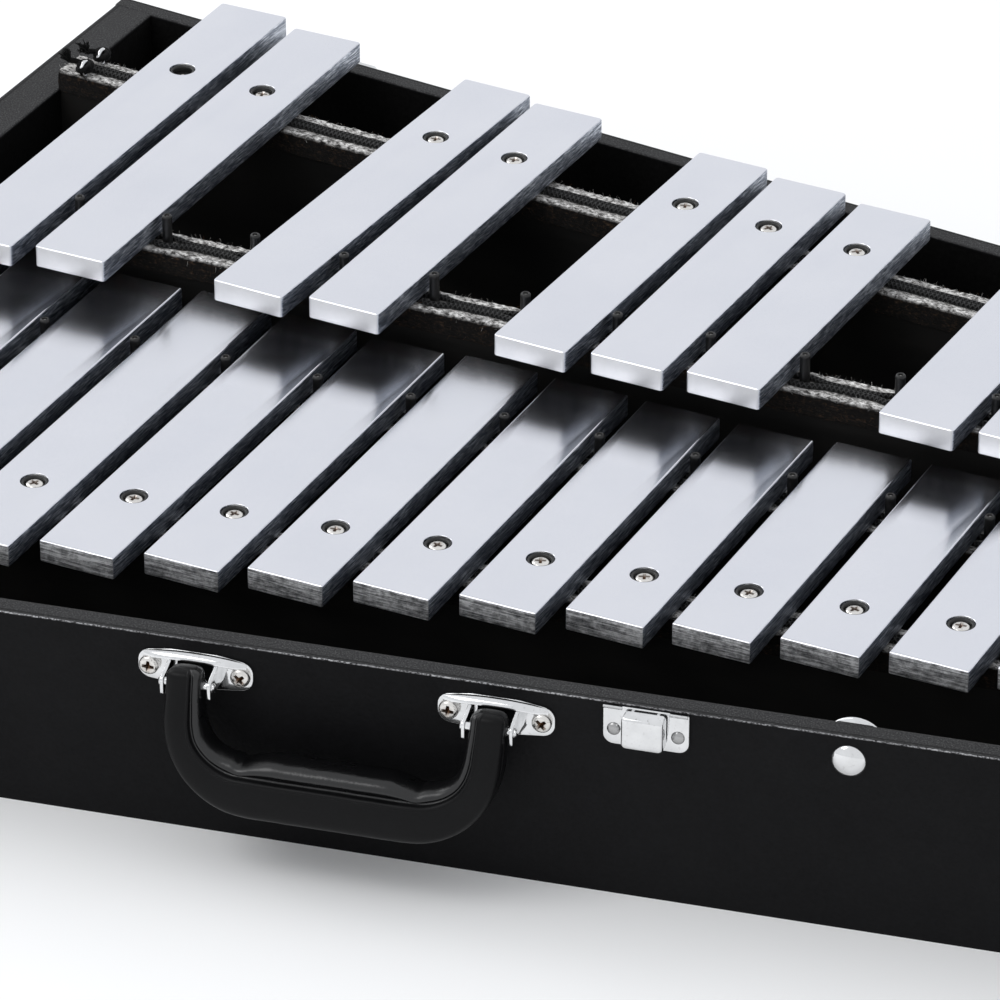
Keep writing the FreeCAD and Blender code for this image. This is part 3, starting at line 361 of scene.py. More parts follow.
def pattern_object(name, shape, smooth, scale=MM, painted_recess_shade=None):
    """One fitting, kept out of sight, that a tree copies; the optional list gives each point's share of
    painted shade for its recesses.
    """
    mesh = clean_mesh(name, shape, smooth, scale)
    if painted_recess_shade:
        mesh.attributes.new("painted_recess_shade", "FLOAT", "POINT").data.foreach_set("value", painted_recess_shade)
    held = placed(name, mesh)
    held.hide_render = True
    return held


def set_out(name, shape, places, finish, stands_for, smooth=32.0, painted_recess_shade=None):
    """Copies of one fitting on the case, at placements in millimetres, as one piece."""
    held = pattern_object(name + "_pattern", shape, smooth, MM, painted_recess_shade)
    base = bpy.data.meshes.new(name + "_places")
    base.from_pydata([p.to_translation() * MM for p in places], [], [])
    turns = base.attributes.new("turn", "FLOAT_VECTOR", "POINT")
    for item, place in zip(turns.data, places):
        item.vector = place.to_euler()
    made = grown(name, base, FITTINGS, FITTINGS_INPUTS, {"Fitting": held, "Size": 1.0,
        "Finish": finish})
    bpy.data.objects.remove(held)
    return settle(made, "case", [stands_for])


# ---------------------------------------------------------------- finishes

def grey(value):
    return (value, value, value)


class Finish:
    """A node material under construction; every pattern is read in object metres."""

    def __init__(self, name, **sockets):
        self.material = bpy.data.materials.new(name)
        self.material.use_nodes = True
        self.tree = self.material.node_tree
        self.shader = self.tree.nodes["Principled BSDF"]
        for label, given in sockets.items():
            self.shader.inputs[label.replace("_", " ")].default_value = given
        self.coords = self.tree.nodes.new("ShaderNodeTexCoord")

    def node(self, kind, settings=None, **inputs):
        made = self.tree.nodes.new("ShaderNode" + kind)
        for key, given in (settings or {}).items():
            setattr(made, key, given)
        for key, given in inputs.items():
            self.feed(made.inputs[key.replace("_", " ")], given)
        return made

    def feed(self, socket, given):
        if isinstance(given, bpy.types.NodeSocket):
            self.tree.links.new(given, socket)
        else:
            socket.default_value = given

    def where(self, scale=(1, 1, 1), turn=0.0, shift=(0, 0, 0)):
        mapped = self.node("Mapping", Vector=self.coords.outputs["Object"])
        for label, given in (("Scale", scale), ("Rotation", (0, 0, turn)), ("Location", shift)):
            mapped.inputs[label].default_value = given
        return mapped.outputs[0]

    def noise(self, scale, detail=3.0, rough=0.55, where=None, twist=0.0):
        made = self.node("TexNoise", Scale=scale, Detail=detail, Roughness=rough, Distortion=twist)
        self.tree.links.new(where or self.coords.outputs["Object"], made.inputs["Vector"])
        return made.outputs[0]

    def cells(self, scale):
        made = self.node("TexVoronoi", {"feature": "SMOOTH_F1"}, Scale=scale)
        self.tree.links.new(self.coords.outputs["Object"], made.inputs["Vector"])
        return made.outputs["Distance"]

    def sum(self, operation, first, second=0.0):
        made = self.node("Math", {"operation": operation})
        for socket, given in zip(made.inputs, (first, second, 0.0)):
            self.feed(socket, given)
        return made.outputs[0]

    def add(self, first, second):
        return self.sum("ADD", first, second)

    def times(self, first, second):
        return self.sum("MULTIPLY", first, second)

    def blend(self, first, share, second, other_share):
        return self.add(self.times(first, share), self.times(second, other_share))

    def apart(self, first, second):
        return self.sum("ABSOLUTE", self.sum("SUBTRACT", first, second))

    def spread(self, value, low, high, to_low=0.0, to_high=1.0):
        made = self.node("MapRange", Value=value)
        for key, given in (("From Min", low), ("From Max", high), ("To Min", to_low),
                ("To Max", to_high)):
            self.feed(made.inputs[key], given)
        return made.outputs[0]

    def ramp(self, value, stops):
        made = self.node("ValToRGB", Fac=value)
        bar = made.color_ramp
        while len(bar.elements) < len(stops):
            bar.elements.new(0.5)
        for element, (place, colour) in zip(bar.elements, stops):
            element.position = place
            element.color = colour if len(colour) == 4 else (*colour, 1)
        return made.outputs["Color"]

    def mix(self, share, first, second):
        made = self.node("Mix", {"data_type": "RGBA"})
        for socket, given in ((made.inputs[0], share), (made.inputs[6], first),
                (made.inputs[7], second)):
            if isinstance(given, tuple) and len(given) == 3:
                given = (*given, 1)
            self.feed(socket, given)
        return made.outputs[2]

    def axis(self, vector, which):
        return self.node("SeparateXYZ", Vector=vector).outputs[which]

    def facing(self, which):
        return self.axis(self.coords.outputs["Normal"], which)

    def bump(self, height, depth, strength=1.0, under=None):
        made = self.node("Bump", Height=height, Distance=depth, Strength=strength)
        if under is not None:
            self.tree.links.new(under, made.inputs["Normal"])
        return made.outputs[0]

    def colour(self, given):
        self.feed(self.shader.inputs["Base Color"], given)

    def rough(self, given):
        self.feed(self.shader.inputs["Roughness"], given)

    def relief(self, given):
        self.feed(self.shader.inputs["Normal"], given)
        return self.material


def grain_of_leather(finish, fine, depth):
    """Height and normal of a pebbled, creased leather grain."""
    pebbles = finish.cells(fine)
    creases = finish.noise(fine * 0.22, 4, 0.6, twist=0.6)
    height = finish.add(pebbles, finish.times(creases, 0.7))
    return height, finish.bump(height, depth)


def wall_covering(name, angle, outside, thick, band):
    """Leatherette over a wall: black sides, a rim top painted lighter grey as painted light, a worn
    outer edge, a flat black inside.
    """
    finish = Finish(name, Specular_IOR_Level=0.10)
    turned = Matrix.Rotation(-angle, 3, "Z")
    local = finish.where(turn=-angle, shift=-(turned @ outside))
    across, height = finish.axis(local, "Y"), finish.axis(local, "Z")
    up = finish.facing("Z")
    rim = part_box("front_wall")[1].z
    grain, pebbled = grain_of_leather(finish, 900, 0.00010)
    cloud = finish.noise(18, 3, 0.6)
    side = finish.ramp(finish.blend(grain, 0.35, cloud, 0.4),
        [(0.2, (0.0022, 0.0022, 0.0025)), (0.75, (0.0062, 0.0062, 0.0070))])
    # Up-facing faces take a lighter grey: painted light on the rim top, though it is the same
    # leatherette as the sides.
    top = finish.ramp(finish.noise(2000, 2, 0.8), [(0.32, (0.012, 0.012, 0.013)),
        (0.54, (0.032, 0.032, 0.033)), (0.72, grey(0.12))])
    on_top = finish.spread(up, 0.35, 0.75)
    covered = finish.mix(on_top, side, top)
    seam = finish.times(on_top, finish.spread(finish.apart(across, band), 0.00025, 0.0004, 1, 0))
    covered = finish.mix(finish.times(seam, 0.8), covered, grey(0.006))
    edge = finish.spread(finish.apart(across, 0.00010), 0.00018, 0.0003, 1, 0)
    edge = finish.times(edge, finish.spread(height, rim - 0.0006, rim - 0.0004))
    flecks = finish.spread(finish.noise(2300, 1, 0.5), 0.44, 0.56)
    patches = finish.spread(finish.noise(24, 2, 0.5), 0.30, 0.55, 0.35, 1)
    worn = finish.times(edge, finish.times(flecks, patches))
    covered = finish.mix(worn, covered, (0.45, 0.45, 0.46))
    inner = finish.times(finish.spread(across, thick - 0.0006, thick - 0.0003),
        finish.spread(height, rim - 0.0004, rim - 0.0012))
    lining = finish.ramp(finish.noise(700, 2, 0.6), [(0.3, grey(0.0022)),
        (0.8, (0.0055, 0.0055, 0.0052))])
    finish.colour(finish.mix(inner, covered, lining))
    dull = finish.spread(finish.noise(60, 3), 0.3, 0.7, 0.50, 0.62)
    finish.rough(finish.sum("MAXIMUM", dull, finish.times(inner, 0.95)))
    return finish.relief(finish.bump(finish.noise(45, 3), 0.0004, 0.35, pebbled))


def flat_black(name, light=1.0):
    finish = Finish(name, Specular_IOR_Level=0.12)
    finish.colour(finish.ramp(finish.noise(650, 3, 0.65), [(0.3, grey(0.0022 * light)),
        (0.7, grey(0.005 * light))]))
    finish.rough(finish.spread(finish.noise(90), 0.3, 0.7, 0.8, 0.95))
    return finish.relief(finish.bump(finish.noise(900, 3), 0.00008))


def painted_wood():
    finish = Finish("rail_paint", Specular_IOR_Level=0.3)
    strokes = finish.noise(55, 5, 0.65, finish.where(scale=(0.12, 1, 1)))
    finish.colour(finish.ramp(strokes, [(0.3, grey(0.003)), (0.7, (0.010, 0.009, 0.008))]))
    finish.rough(finish.spread(strokes, 0.3, 0.7, 0.55, 0.8))
    return finish.relief(finish.bump(strokes, 0.0003))


def bar_metal(name, sawn_ends):
    """Satin aluminium: even tops, brushed long sides painted dark and bluish as painted shade, sawn or
    polished ends.
    """
    finish = Finish(name, Metallic=1.0)
    front, side = (finish.sum("ABSOLUTE", finish.facing(axis)) for axis in "YX")
    cloud = finish.noise(26, 4, 0.55)
    fine = finish.noise(1300, 2, 0.6)
    lines = finish.noise(160, 4, 0.8, finish.where(scale=(14, 1.1, 16)))
    sawn = finish.noise(260, 4, 0.75, finish.where(scale=(0.35, 1, 7)))
    on_side = finish.spread(side, 0.6, 0.9)
    on_end = finish.spread(front, 0.6, 0.9)
    top = finish.ramp(finish.blend(cloud, 0.7, fine, 0.3), [(0.3, (0.735, 0.75, 0.81)),
        (0.7, (0.79, 0.80, 0.85))])
    # Long sides: real brushed lines, with the whole side darkened as painted shade.
    flank = finish.ramp(lines, [(0.36, (0.03, 0.036, 0.05)), (0.5, (0.26, 0.29, 0.35)),
        (0.64, (0.88, 0.91, 0.97))])
    if sawn_ends:
        blotch = finish.noise(420, 3, 0.7)
        sawn = finish.blend(sawn, 0.65, blotch, 0.35)
        end = finish.ramp(sawn, [(0.36, (0.06, 0.06, 0.065)), (0.47, (0.40, 0.402, 0.41)),
            (0.58, (0.97, 0.97, 0.98))])
        end_rough, end_depth = 0.60, 0.00018
    else:
        end = finish.ramp(finish.noise(75, 4, 0.6), [(0.3, (0.74, 0.74, 0.745)), (0.7, grey(0.84))])
        end_rough, end_depth = 0.52, 0.00003
    finish.colour(finish.mix(on_end, finish.mix(on_side, top, flank), end))
    smooth = finish.spread(cloud, 0.3, 0.7, 0.17, 0.22)
    rough = finish.add(finish.times(smooth, finish.sum("SUBTRACT", 1, on_end)),
        finish.times(on_end, end_rough))
    finish.rough(finish.add(rough, finish.times(on_side, 0.26)))
    side_relief = finish.bump(lines, 0.00006)
    finish.tree.links.new(finish.add(finish.times(on_side, 0.9), 0.02),
        side_relief.node.inputs["Strength"])
    end_relief = finish.bump(sawn, end_depth, under=side_relief)
    finish.tree.links.new(on_end, end_relief.node.inputs["Strength"])
    return finish.relief(end_relief)


def rubber(name):
    finish = Finish(name, Specular_IOR_Level=0.45)
    dust = finish.noise(420, 3, 0.6)
    finish.colour(finish.ramp(dust, [(0.35, grey(0.0035)), (0.62, grey(0.010)),
        (0.8, (0.035, 0.034, 0.033))]))
    finish.rough(finish.spread(dust, 0.3, 0.7, 0.34, 0.5))
    return finish.relief(finish.bump(finish.noise(1600, 2), 0.00003))


def bright_metal(name, tone, low, high, dirt=0.25):
    """Plated or polished metal with faint smudges, and painted shade in the recesses that a fitting
    marks.
    """
    finish = Finish(name, Metallic=1.0)
    smudge = finish.noise(130, 4, 0.6)
    spots = finish.spread(finish.noise(900, 2, 0.6), 0.62, 0.72)
    base = finish.mix(finish.spread(smudge, 0.35, 0.7), tone, tuple(0.86 * c for c in tone))
    # Marked points turn dark brown: painted shade in the screws' cross recesses.
    recess_shade_share = finish.node("Attribute", {"attribute_name": "painted_recess_shade"}).outputs["Fac"]
    base = finish.mix(recess_shade_share, base, (0.10, 0.055, 0.03))
    finish.colour(finish.mix(finish.times(spots, dirt), base, (0.16, 0.14, 0.12)))
    finish.rough(finish.spread(smudge, 0.3, 0.7, low, high))
    return finish.relief(finish.bump(finish.noise(340, 3), 0.00002, 0.5))


def handle_skin(name, gloss_low, gloss_high, shine):
    finish = Finish(name, Specular_IOR_Level=shine)
    grain, pebbled = grain_of_leather(finish, 1100, 0.00004)
    cloud = finish.noise(40, 3, 0.6)
    finish.colour(finish.ramp(finish.blend(grain, 0.3, cloud, 0.45),
        [(0.2, (0.0012, 0.0012, 0.0014)), (0.75, (0.0035, 0.0035, 0.0040))]))
    finish.rough(finish.spread(cloud, 0.3, 0.7, gloss_low, gloss_high))
    return finish.relief(finish.bump(finish.noise(120, 3), 0.0002, 0.5, pebbled))


def wool():
    """Felt: a grey-white speckled top and browner, dirtier sides, the sides also painted much darker
    than the top as painted shade.
    """
    finish = Finish("rail_wool", Specular_IOR_Level=0.03, Sheen_Weight=0.08, Sheen_Roughness=0.6)
    hairs = finish.noise(1500, 3, 0.75, finish.where(scale=(0.45, 1, 1), turn=0.5))
    clumps = finish.noise(520, 3, 0.6)
    mixed = finish.blend(hairs, 0.6, clumps, 0.4)
    top = finish.ramp(mixed, [(0.37, (0.008, 0.008, 0.007)), (0.44, (0.12, 0.115, 0.11)),
        (0.51, (0.45, 0.44, 0.43)), (0.60, (0.88, 0.87, 0.85))])
    side = finish.ramp(mixed, [(0.42, (0.0015, 0.0013, 0.0012)), (0.54, (0.006, 0.0045, 0.0035)),
        (0.63, (0.035, 0.020, 0.011)), (0.74, (0.15, 0.10, 0.07))])
    # Faces turned away from up take the dark side ramp: browner felt, plus painted shade.
    finish.colour(finish.mix(finish.spread(finish.facing("Z"), 0.45, 0.9), side, top))
    finish.rough(finish.spread(mixed, 0.3, 0.7, 0.85, 1.0))
    return finish.relief(finish.bump(mixed, 0.0006))


def fibre_wool(name, dark, light):
    finish = Finish(name, Specular_IOR_Level=0.08, Sheen_Weight=0.04)
    finish.colour(finish.ramp(finish.noise(700, 2, 0.7), [(0.35, dark), (0.65, light)]))
    finish.rough(finish.spread(finish.noise(300), 0.3, 0.7, 0.75, 0.95))
    return finish.relief(finish.bump(finish.noise(5000, 1), 0.00002))


def braid(name):
    """Braided cord: two sets of slanting strands crossing, read from the cord's own UV map."""
    finish = Finish(name, Specular_IOR_Level=0.30)
    along = finish.axis(finish.coords.outputs["UV"], "X")
    round_it = finish.axis(finish.coords.outputs["UV"], "Y")
    waves = []
    for way in (1, -1):
        phase = finish.add(finish.times(along, 2 * math.pi / 0.0016),
            finish.times(round_it, way * 2 * math.pi * 3))
        waves.append(finish.sum("SINE", phase))
    height = finish.sum("MAXIMUM", waves[0], waves[1])
    # Colour follows strand height: grooves painted near black as painted shade, crests lighter as
    # painted highlight.
    finish.colour(finish.ramp(finish.spread(height, -0.4, 1),
        [(0.45, grey(0.0006)), (0.85, grey(0.004)), (1.0, grey(0.035))]))
    finish.rough(finish.spread(height, -0.5, 1, 0.75, 0.45))
    return finish.relief(finish.bump(height, 0.00034))


NODE = frame["nodes"]
up_axis = Vector((0, 0, 1))
axis = JOINTS["handle_swing"]["axis"]
FRONT_ANGLE = math.atan2(-axis[1], -axis[0])
front_low, front_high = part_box("front_wall")
back_low, back_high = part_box("back_wall")
RIM = front_high.z
FRONT_WALL, BACK_WALL, END_WALL = 7.5 * MM, 6.8 * MM, 15 * MM
back_drop = back_high.y - back_low.y - BACK_WALL
BACK_ANGLE = -math.atan2(back_drop, back_high.x - back_low.x)

front_outside = Vector((front_low.x, front_low.y, 0))
back_outside = Vector((back_low.x, back_high.y, 0))
WALLS = {
    "front_wall": (FRONT_ANGLE, front_outside, FRONT_WALL, 0.0013),
    "back_wall": (BACK_ANGLE + math.pi, back_outside, BACK_WALL, 0.0013),
    "bass_end_wall": (-math.pi / 2, Vector((front_low.x, 0, 0)), END_WALL, 0.0017),
    "treble_end_wall": (math.pi / 2, Vector((front_high.x, 0, 0)), END_WALL, 0.0017),
}


def cover(node, finish):
    """Give a bare part of the case its finish."""
    NODE[node].data.materials.clear()
    NODE[node].data.materials.append(finish)


for node, (angle, outside, thick, band) in WALLS.items():
    cover(node, wall_covering(node + "_covering", angle, outside, thick, band))
lining = flat_black("floor_lining")
paint = painted_wood()
for node, finish in [("floor_panel", lining)] + [(n, paint) for n in NODE if n.endswith("_rail")]:
    cover(node, finish)

natural_metal = bar_metal("natural_bar_metal", True)
sharp_metal = bar_metal("sharp_bar_metal", False)
sleeve_rubber = rubber("sleeve_rubber")
ring_rubber = rubber("ring_rubber")
screw_steel = bright_metal("screw_steel", (0.80, 0.78, 0.75), 0.16, 0.30, 0.5)
nail_steel = bright_metal("nail_steel", (0.35, 0.34, 0.33), 0.30, 0.45, 0.5)
chrome = bright_metal("chrome_fittings", (0.80, 0.805, 0.81), 0.05, 0.13, 0.15)
rivet_steel = bright_metal("rivet_steel", grey(0.40), 0.22, 0.34, 0.2)
vinyl = handle_skin("handle_vinyl", 0.34, 0.46, 0.15)
pad_vinyl = handle_skin("handle_pad_vinyl", 0.24, 0.32, 0.55)
notch_painted_shadow = flat_black("notch_shadow", 0.7)
wool_felt = wool()
pale_fibre = fibre_wool("pale_fibre", (0.30, 0.29, 0.27), (0.80, 0.79, 0.76))
brown_fibre = fibre_wool("brown_fibre", (0.012, 0.008, 0.005), (0.16, 0.09, 0.045))
black_fibre = fibre_wool("frayed_cord", grey(0.0012), grey(0.009))
cord_braid = braid("cord_braid")


# ---------------------------------------------------------------- the thirty bars

BAR_WIDE, BAR_THICK, HOLE = 25.0, 7.4, 8.6
BAR_EDGE, HOLE_EDGE = 0.55, 0.25
SAWN_CORNER, POLISHED_CORNER = 0.5, 1.1


def tops_of(solids):
    """The middle of each solid's top."""
    return [Vector(((lo.x + hi.x) / 2, (lo.y + hi.y) / 2, hi.z)) for lo, hi in solids]


screw_tops = tops_of(solids_of("bar_screws"))


def bar_place(node):
    """A bar's front left corner, direction, length and underside, in millimetres."""
    corners = [v.co / MM for v in NODE[node].data.vertices if v.co.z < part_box(node)[0].z + SAME_LEVEL]
    if not node.endswith("_sharp"):
        low, high = (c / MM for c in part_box(node))
        return Vector((low.x, low.y)), 0.0, high.y - low.y, low.z
    left = min(corners, key=lambda c: c.x).to_2d()
    right = min(corners, key=lambda c: c.y).to_2d()
    rear = max(corners, key=lambda c: c.y).to_2d()
    return left, math.atan2(right.y - left.y, right.x - left.x), (rear - left).length, corners[0].z


def finished_bar(node):
    """A bar with softened edges and a hole with a broken rim."""
    start, angle, long, under = bar_place(node)
    frame_of_bar = Matrix.Translation((*start, under)) @ Matrix.Rotation(angle, 4, "Z")
    backwards = frame_of_bar.inverted()
    inside = [backwards @ top for top in screw_tops]
    hole = next(p for p in inside if 0 < p.x < BAR_WIDE and 0 < p.y < long and abs(p.z - BAR_THICK) < 2)
    polished = node.endswith("_sharp")
    corner = POLISHED_CORNER if polished else SAWN_CORNER
    outline = rounded_outline([(0, 0), (BAR_WIDE, 0), (BAR_WIDE, long), (0, long)], [corner] * 4, 5)
    shape = plate(outline, [circle_outline(HOLE / 2, hole.x, hole.y, 40)], BAR_THICK, BAR_EDGE,
        HOLE_EDGE)
    metal = sharp_metal if polished else natural_metal
    return piece(node + "_finished", Shape().add(shape, frame_of_bar), metal, "case", [node],
        24)


for note in NOTES:
    finished_bar(note)


# ---------------------------------------------------------------- screws, rings and guide pins

HEAD_SIDES = 28
HEAD_WIDE, HEAD_HIGH = 6.0, 2.2
SUNK, SUNK_DEEPEST, SUNK_DEEPER = 0.3, 2.4, 0.9
RING_RISE = 0.4


def cross_screw(arm, slot, depth, shank, size=HEAD_WIDE, high=HEAD_HIGH):
    """A pan head screw with a cross recess; the top of its head is at height 0."""
    radius = size / 2
    outer = [(radius, -high), (radius, -high * 0.5), (radius * 0.95, -high * 0.28),
        (radius * 0.82, -high * 0.1), (radius * 0.62, 0.0)]
    body = lathe([(AXIS, -shank), (size * 0.28, -shank), (size * 0.28, -high)] + outer, HEAD_SIDES)
    wide, narrow = slot / 2, slot * 0.62
    corners = [(arm, -wide), (arm, wide), (narrow, narrow), (wide, arm), (-wide, arm),
        (-narrow, narrow), (-arm, wide), (-arm, -wide), (-narrow, -narrow), (-wide, -arm), (wide, -arm),
        (narrow, -narrow)]
    bm = bmesh.new()
    ring = [bm.verts.new(p) for p in body.points[-HEAD_SIDES:]]
    top = [bm.verts.new((x, y, 0)) for x, y in corners]
    foot = [bm.verts.new((x * 0.6, y * 0.6, -depth * 0.75)) for x, y in corners]
    floor = bm.verts.new((0, 0, -depth))
    edges = [bm.edges.new(pair) for loop in (ring, top) for pair in neighbours(loop)]
    bmesh.ops.triangle_fill(bm, edges=edges, use_beauty=True, use_dissolve=False,
        normal=Vector((0, 0, 1)))
    for (a, b), (d, c) in zip(neighbours(top), neighbours(foot)):
        bm.faces.new((a, b, c, d))
        bm.faces.new((d, c, floor))
    body.points = body.points[:-HEAD_SIDES]
    body.faces = [f for f in body.faces if max(f) < len(body.points)]
    rim = len(body.points)
    body.add(shape_of(bm))
    body.faces += [(rim - HEAD_SIDES + i, rim - HEAD_SIDES + j, rim + j, rim + i) for i,
        j in neighbours(range(HEAD_SIDES))]
    # Each point's share of painted shade: some at the recess's rim, full at its foot and floor.
    painted_recess_shade = [0.0] * (rim + HEAD_SIDES) + [0.35] * len(corners) + [1.0] * (len(corners) + 1)
    return body, painted_recess_shade


chance = random.Random(7)
sharp_tops = [top for top in screw_tops if top.z > min(p.z for p in screw_tops) + 5]
sunk = {sharp_tops[0].x: SUNK_DEEPEST, sharp_tops[1].x: SUNK_DEEPER}
upright = [Matrix.Translation(top - Vector((0, 0, sunk.get(top.x, SUNK))))
    @ Matrix.Rotation(chance.uniform(0, math.pi), 4, "Z") for top in screw_tops]
head, head_recess_shade = cross_screw(arm=1.7, slot=0.8, depth=1.2, shank=14.0)
set_out("bar_screws_fitted", head, upright, screw_steel, "bar_screws", 40, head_recess_shade)
ring_section = [(1.9, -7.0), (4.2, -7.0), (4.3, -6.6), (4.3, -0.9), (4.15, -0.55), (3.75, -0.4),
    (3.4, -0.55), (3.15, -0.95), (3.15, -2.6), (1.9, -2.6)]
set_out("bar_rings_fitted", lathe(ring_section, 32, True), [Matrix.Translation(top + Vector((0, 0,
    RING_RISE))) for top in screw_tops], ring_rubber, "bar_grommets", 50)

sleeves = solids_of("guide_pin_sleeves")
sleeve_tops = tops_of(sleeves)
sleeve_long = max(hi.z - lo.z for lo, hi in sleeves)
sleeve_section = [(0.8, -sleeve_long), (1.65, -sleeve_long), (1.62, -6.0), (1.62, -1.5), (1.68, -1.1),
    (1.66, -0.7), (1.5, -0.28), (1.22, -0.03), (0.95, 0.0), (0.78, -0.12), (0.72, -0.5), (0.72, -2.0)]
pin_places = [Matrix.Translation(top) for top in sleeve_tops]
set_out("pin_sleeves_fitted", lathe(sleeve_section, 18, True), pin_places, sleeve_rubber,
    "guide_pin_sleeves", 60)
nail = [(AXIS, -24.0), (0.7, -24.0), (0.7, -0.75), (0.5, -0.5), (0.2, -0.42), (AXIS, -0.4)]
set_out("pin_nails_fitted", lathe(nail, 12), pin_places, nail_steel, "guide_pins")


# ---------------------------------------------------------------- felt and cords

RAILS = ["natural_front", "natural_rear", "sharp_front", "sharp_rear"]
CORD, CORD_LEAD, CORD_EASE = 2.0, 9.0, 9.0
CORDS_APART, CORDS_TOGETHER = 2.75, 1.02
FELT_WIDE, FELT_THICK, FELT_OFF, FELT_STEPS = 14.0, 7.5, 0.7, 420
HAIR_LEAN = 0.7
PALE_HAIRS, BROWN_HAIRS = 500000, 150000
SHORTEST_HAIR, LONGEST_PALE, LONGEST_BROWN = 0.5 * MM, 1.5 * MM, 1.4 * MM


def rail_line(name):
    """The two ends of a rail's middle line at the felt's top, in millimetres."""
    low, high = (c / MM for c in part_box(name + "_rail"))
    corners = [v.co / MM for v in NODE[name + "_rail"].data.vertices
        if v.co.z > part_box(name + "_rail")[1].z - SAME_LEVEL]
    ends = []
    for x in (low.x, high.x):
        side = [c.y for c in corners if abs(c.x - x) < 0.05]
        ends.append(Vector((x, (min(side) + max(side)) / 2, high.z + FELT_THICK)))
    return ends


def felt_strip(start, end, wide, seed):
    """A strip of soft felt with a slightly crowned, uneven surface and ragged edges."""
    along = (end - start).normalized()
    across = Vector((-along.y, along.x, 0))
    half = wide / 2
    flank = [(0, -FELT_THICK), (0.15, -5.5), (0.3, -3.5), (0.1, -1.6), (-0.35, -0.4), (-1.2, 0.28)]
    crown = [(-half + 1.2 + (wide - 2.4) * k / 12, 0.28 - 0.4 * math.sin(math.pi * k / 12))
        for k in range(1, 12)]
    section = ([(-half - out, up) for out, up in flank] + crown
        + [(half + out, up) for out, up in reversed(flank)])
    rings = []
    for k in range(FELT_STEPS + 1):
        middle = start.lerp(end, k / FELT_STEPS) + across * FELT_OFF
        ring = []
        for off, up in section:
            spot = Vector((k * 0.9, off * 0.8, up * 0.8 + seed))
            rough = noise.noise(spot) * 0.35 + noise.noise(spot * 2.7) * 0.22
            fuller = 0.0 if up <= -FELT_THICK else 1.0
            ring.append(middle + across * (off + rough * 0.7 * fuller)
                + up_axis * (up + rough * fuller))
        rings.append(ring)
    return loft(rings)


def curled_fibre():
    """A single bent hair, 1 long and standing on its foot, as a three-sided ribbon."""
    path = [Vector((HAIR_LEAN * (t ** 2), 0.25 * HAIR_LEAN * math.sin(3 * t), t))
        for t in (0.0, 0.4, 0.75, 1.0)]
    return tube(path, 0.022, 3)


def fuzz(name, felt, thickly, longest, lift, upwards, seed, finish):
    """Loose hairs over the felt, so many to a square metre where it faces up far enough."""
    made = grown(name, felt.data.copy(), FIBRES, FIBRES_INPUTS,
        {"Fibre": hair, "Thickly": float(thickly), "Shortest": SHORTEST_HAIR, "Longest": longest,
        "Lift": lift, "Upwards": upwards, "Seed": seed, "Finish": finish})
    return settle(made, "case", ())


hair = pattern_object("hair_pattern", curled_fibre(), 180, 1.0)


def cord_path(start, end, side, stops, seed):
    """One cord's way along its rail: apart at each pin or screw, drawn together between them."""
    along = (end - start).normalized()
    across = Vector((-along.y, along.x, 0))
    long = (end - start).length
    points = []
    steps = int(long / 1.2)
    for k in range(steps + 1):
        way = long * k / steps
        nearest = min(abs(way - stop) for stop in stops)
        ease = smooth_step(nearest / CORD_EASE)
        off = side * (CORDS_APART * (1 - ease) + CORDS_TOGETHER * ease)
        wander = 0.28 * noise.noise(Vector((way * 0.045, seed, 0)))
        sink = 0.12 * noise.noise(Vector((way * 0.06, seed + 9, 0)))
        points.append(start + along * way + across * (off + wander - 0.35)
            + up_axis * (sink + CORD / 2 * 0.92))
    return points


def braided(name, paths, finish, radius):
    """Cords as one piece, each with a UV map in metres along it and turns round it."""
    bm = bmesh.new()
    mapping = bm.loops.layers.uv.new("along")
    sides = 12
    for path in paths:
        shape = tube(path, radius, sides)
        corners = [bm.verts.new(p * MM) for p in shape.points]
        way = [0.0]
        for a, b in zip(path, path[1:]):
            way.append(way[-1] + (b - a).length * MM)
        for face in shape.faces:
            made = bm.faces.new([corners[i] for i in face])
            wraps = {i % sides for i in face} >= {0, sides - 1}
            for loop, i in zip(made.loops, face):
                turn = (i % sides) / sides
                if wraps and i % sides == 0 and len(face) == 4:
                    turn = 1.0
                loop[mapping].uv = (way[i // sides], turn)
    bmesh.ops.recalc_face_normals(bm, faces=bm.faces)
    mesh = bpy.data.meshes.new(name)
    bm.to_mesh(mesh)
    bm.free()
    mesh.shade_smooth()
    mesh.materials.append(finish)
    return placed(name, mesh)


anchors = solids_of("cord_anchors")
for row in ("natural", "sharp"):
    strips, cords = Shape(), []
    for number, name in enumerate(n for n in RAILS if n.startswith(row)):
        start, end = rail_line(name)
        along = (end - start).normalized()
        strips.add(felt_strip(start, end, FELT_WIDE, 10 * number + (50 if row == "sharp" else 0)))
        spots = sleeve_tops if name in ("natural_rear", "sharp_front") else screw_tops
        stops = []
        for spot in spots:
            off = spot - start
            off.z = 0
            way = off.dot(along)
            if (off - along * way).length < 3:
                stops.append(way)
        first, last = start + along * CORD_LEAD, end - along * CORD_LEAD
        stops = [stop - CORD_LEAD for stop in stops]
        for side in SIDES:
            cords.append(cord_path(first, last, side, stops, number * 7 + side
                + (31 if row == "sharp" else 0)))
    felt = piece(row + "_felt_strips", strips, wool_felt, "case", [row + "_rail_felts"],
        80)
    settle(braided(row + "_cords_braided", cords, cord_braid, CORD / 2), "case", [row + "_row_cords"])
    fuzz(row + "_felt_pale_hairs", felt, PALE_HAIRS, LONGEST_PALE, lift=1.5, upwards=0.6, seed=3,
        finish=pale_fibre)
    fuzz(row + "_felt_brown_hairs", felt, BROWN_HAIRS, LONGEST_BROWN, lift=1.45, upwards=-0.4, seed=8,
        finish=brown_fibre)


# ---------------------------------------------------------------- screw eyes and tied ends

